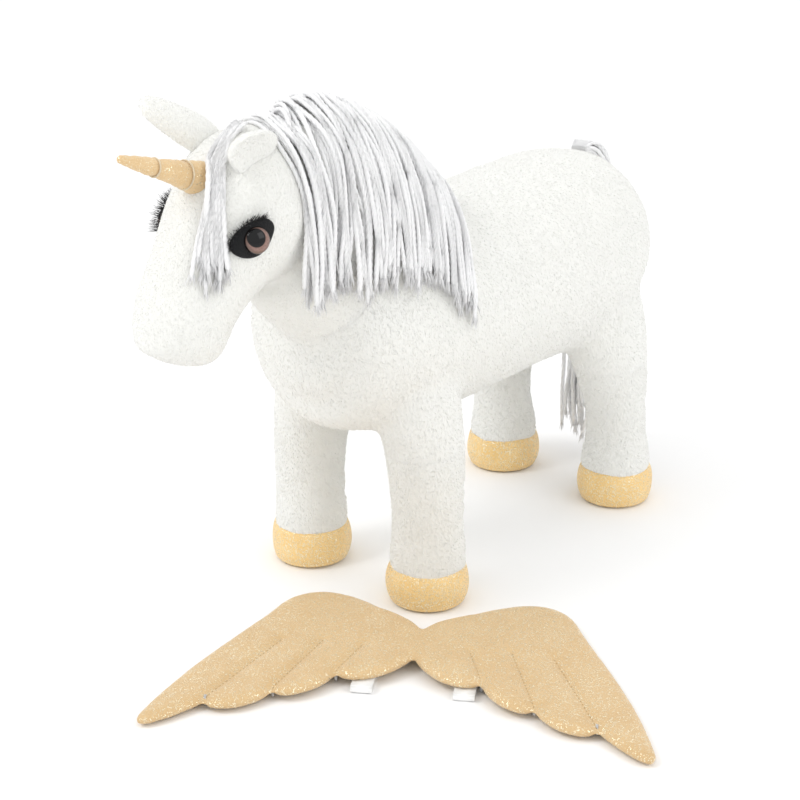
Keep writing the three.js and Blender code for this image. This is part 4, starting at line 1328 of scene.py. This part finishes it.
def puffed(points):
    """The plate's points with rolled edges, sunk seams and an arch over the ground."""
    flat = points[:, :2] / MM
    edge = to_segments(flat, outline, np.roll(outline, -1, 0))
    seams = np.array(SEAMS)
    seams = np.vstack([seams, seams * [-1, 1]])
    seam = to_segments(flat, seams[:, 0], seams[:, 1])
    middle = np.abs(flat[:, 0])
    rolled = np.sqrt(1 - (1 - np.clip(edge / EDGE_ROLL, 0, 1)) ** 2)
    lumps = np.array([noise.noise(Vector((u / 30, v / 30, 3))) for u, v in flat])
    small = np.array([noise.noise(Vector((u / 9, v / 9, 8))) for u, v in flat])
    thick = PUFF * (0.12 + 0.88 * rolled) * (1 + 0.16 * lumps)
    sunk = 0.5 * bell(seam, SEAM_WIDTH) + 0.22 * bell(middle, 5)
    thick = thick * (1 - sunk) + 0.35 * small * bell(edge - 5, 7)
    level = np.clip(points[:, 2] / MM / PUFF, -1, 1)
    rise = ARCH * (1 - np.sqrt((flat[:, 0] / HALF_SPAN) ** 2 + 0.002)) + PUFF + 0.3
    return np.column_stack([points[:, :2], np.maximum(rise + level * thick, LOW_POINT) * MM])


moved(wings, puffed(per_vertex(wings, "co")))
relaxed(wings, 2, 0.4)
wings.data.transform(Matrix.Translation(WING_CENTRE) @ WING_TURN)
print("wings puffed:", round(max(per_vertex(wings, "co")[:, 2]) * 1000, 1), "mm high")

# %% Cutting the wings apart
across_wings = (WING_TURN.to_3x3() @ Vector((1, 0, 0))).normalized()
for side_name, side in SIDES:
    bm = bmesh.new()
    bm.from_mesh(wings.data)
    cut = bmesh.ops.bisect_plane(bm, geom=bm.verts[:] + bm.edges[:] + bm.faces[:], dist=1e-6,
                                 plane_co=WING_CENTRE, plane_no=across_wings * side, clear_inner=True)
    rim = [part for part in cut["geom_cut"] if isinstance(part, bmesh.types.BMEdge) and part.is_boundary]
    for face in bm.faces:
        face.smooth = True
    for cap in bmesh.ops.holes_fill(bm, edges=rim, sides=0)["faces"]:
        cap.smooth = False
    for edge in rim:
        edge.smooth = False
    wing = piece(f"wing_{side_name}_cushion", bm, WING_CLOTH, smooth=False)
    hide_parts(*(f"wing_{part}_{side_name}" for part in ("top", "under", "wadding")))
    if side > 0:
        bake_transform(wing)
    else:
        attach(wing, "wing_right")
bpy.data.objects.remove(wings)

# %% [markdown]
# ## Elastic bands and stitches
# Two loops of flat white elastic are sewn under the wings and show behind them. A loop starts as a
# circle that is pulled out to a flattened shape with round ends, extruded to the band's width and
# given its thickness. Where the scallops of the trailing edge meet, a few turns of white thread
# hold the layers together, and each quilting seam is a row of short stitches.

# %% Making the bands
BAND_WIDTH, BAND_THICKNESS, BAND_NEAR, BAND_FAR, BAND_LOW = 15, 0.001, -14, -76, 0.6
for side_name, u, high in (("left", 40, 4.6), ("right", -31, 5.2)):
    band = bmesh.new()
    ring = bmesh.ops.create_circle(band, segments=40, radius=1)["verts"]
    reach, radius = (BAND_NEAR - BAND_FAR) / 2, (high - BAND_LOW) / 2
    middle = (BAND_NEAR + BAND_FAR) / 2
    for vert in ring:
        away = math.copysign(reach - radius, vert.co.x) if abs(vert.co.x) > 0.05 else 0
        vert.co = Vector((0, middle + away + radius * vert.co.x, BAND_LOW + radius + radius * vert.co.y))
    loop = list({edge for vert in ring for edge in vert.link_edges})
    wide = bmesh.ops.extrude_edge_only(band, edges=loop)["geom"]
    far_edge = [part for part in wide if isinstance(part, bmesh.types.BMVert)]
    bmesh.ops.translate(band, vec=(BAND_WIDTH, 0, 0), verts=far_edge)
    lay = band.loops.layers.uv.new("lay")
    for face in band.faces:
        for corner in face.loops:
            corner[lay].uv = (corner.vert.co.x * MM, corner.vert.co.y * MM)
    bmesh.ops.recalc_face_normals(band, faces=band.faces[:])
    bmesh.ops.transform(band, matrix=Matrix.Translation(WING_CENTRE) @ WING_TURN @ Matrix.Scale(MM, 4)
                        @ Matrix.Translation((u - BAND_WIDTH / 2, 0, 0)), verts=band.verts[:])
    strip = piece(f"elastic_{side_name}_loop", band, WHITE_ELASTIC)
    wall = strip.modifiers.new("wall", "SOLIDIFY")
    wall.thickness, wall.offset = BAND_THICKNESS, 0
    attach(strip, f"wing_{side_name}")
    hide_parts(f"elastic_band_{side_name}")
print("a band is", BAND_NEAR - BAND_FAR, "mm long and", BAND_WIDTH, "mm wide")

# %% Making the quilting stitches
STITCH_STEP, STITCH_SHARE, STITCH_LENGTH, STITCH_RADIUS = 4, 0.6, 0.0026, 0.00032


def stitch_row(starts, ends):
    """Short threads, each a slim lozenge, laid from starts to ends on top of the wings."""
    bm = bmesh.new()
    for start, end in zip(starts, ends):
        bead = bmesh.ops.create_icosphere(bm, subdivisions=1, radius=1)["verts"]
        along = (end - start).normalized()
        turn = along.to_track_quat("X", "Z").to_matrix().to_4x4()
        size = Matrix.Diagonal((STITCH_LENGTH / 2, STITCH_RADIUS, STITCH_RADIUS, 1))
        bmesh.ops.transform(bm, matrix=Matrix.Translation((start + end) / 2) @ turn @ size, verts=bead)
    return bm


def quilting(side_name, side):
    """The stitches of one wing's seams, each dropped onto the cloth."""
    cushion = bpy.data.objects[f"wing_{side_name}_cushion"]
    top = BVHTree.FromObject(cushion, bpy.context.evaluated_depsgraph_get())
    starts, ends = [], []
    for near, far in SEAMS:
        near, far = Vector((side * near[0], near[1], 0)), Vector((side * far[0], far[1], 0))
        count = int((far - near).length / STITCH_STEP)
        for number in range(count):
            pair = []
            for at in (number, number + STITCH_SHARE):
                spot = WING_CENTRE + WING_TURN @ (near.lerp(far, at / count) * MM)
                pair.append(top.ray_cast(spot + Vector((0, 0, 0.1)), Vector((0, 0, -1)))[0])
            if all(pair):
                starts.append(pair[0])
                ends.append(pair[1])
    return piece(f"wing_{side_name}_stitches", stitch_row(starts, ends), WING_THREAD)


print("a stitch is", STITCH_LENGTH * 1000, "mm long")

# %% Making the knots, and sewing both wings
KNOT_TURNS, KNOT_HEIGHT, NOTCH_INSET = (-0.7, 0, 0.7), 0.0052, 3.2
KNOT_SECTION = [(4.1, -0.3), (4.4, 0), (4.1, 0.3), (3.8, 0), (4.1, -0.3)]


def knots_of(side_name, side):
    """A few turns of thread round the trailing edge at each notch."""
    knots = bmesh.new()
    for near, _ in SEAMS:
        spot = WING_CENTRE + WING_TURN @ (Vector((side * near[0], near[1] + NOTCH_INSET, 0)) * MM)
        for step in KNOT_TURNS:
            loop = turned(KNOT_SECTION, Vector(), steps=20, way=Vector((1, 0, 0)))
            bmesh.ops.scale(loop, vec=(1, 0.75, 0.85), verts=loop.verts[:])
            seat = Matrix.Translation(spot + Vector((step * MM, 0, KNOT_HEIGHT))) @ WING_TURN
            bmesh.ops.transform(loop, matrix=seat, verts=loop.verts[:])
            bmesh.ops.recalc_face_normals(loop, faces=loop.faces[:])
            joined = bpy.data.meshes.new("knot")
            loop.to_mesh(joined)
            loop.free()
            knots.from_mesh(joined)
            bpy.data.meshes.remove(joined)
    return piece(f"wing_{side_name}_knots", knots, SEAM_THREAD)


for side_name, side in SIDES:
    for sewn in (quilting(side_name, side), knots_of(side_name, side)):
        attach(sewn, f"wing_{side_name}")
shown = [o.name for o in scene.objects if o.type == "MESH" and o.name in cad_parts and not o.hide_render]
print("CAD nodes that still show:", shown)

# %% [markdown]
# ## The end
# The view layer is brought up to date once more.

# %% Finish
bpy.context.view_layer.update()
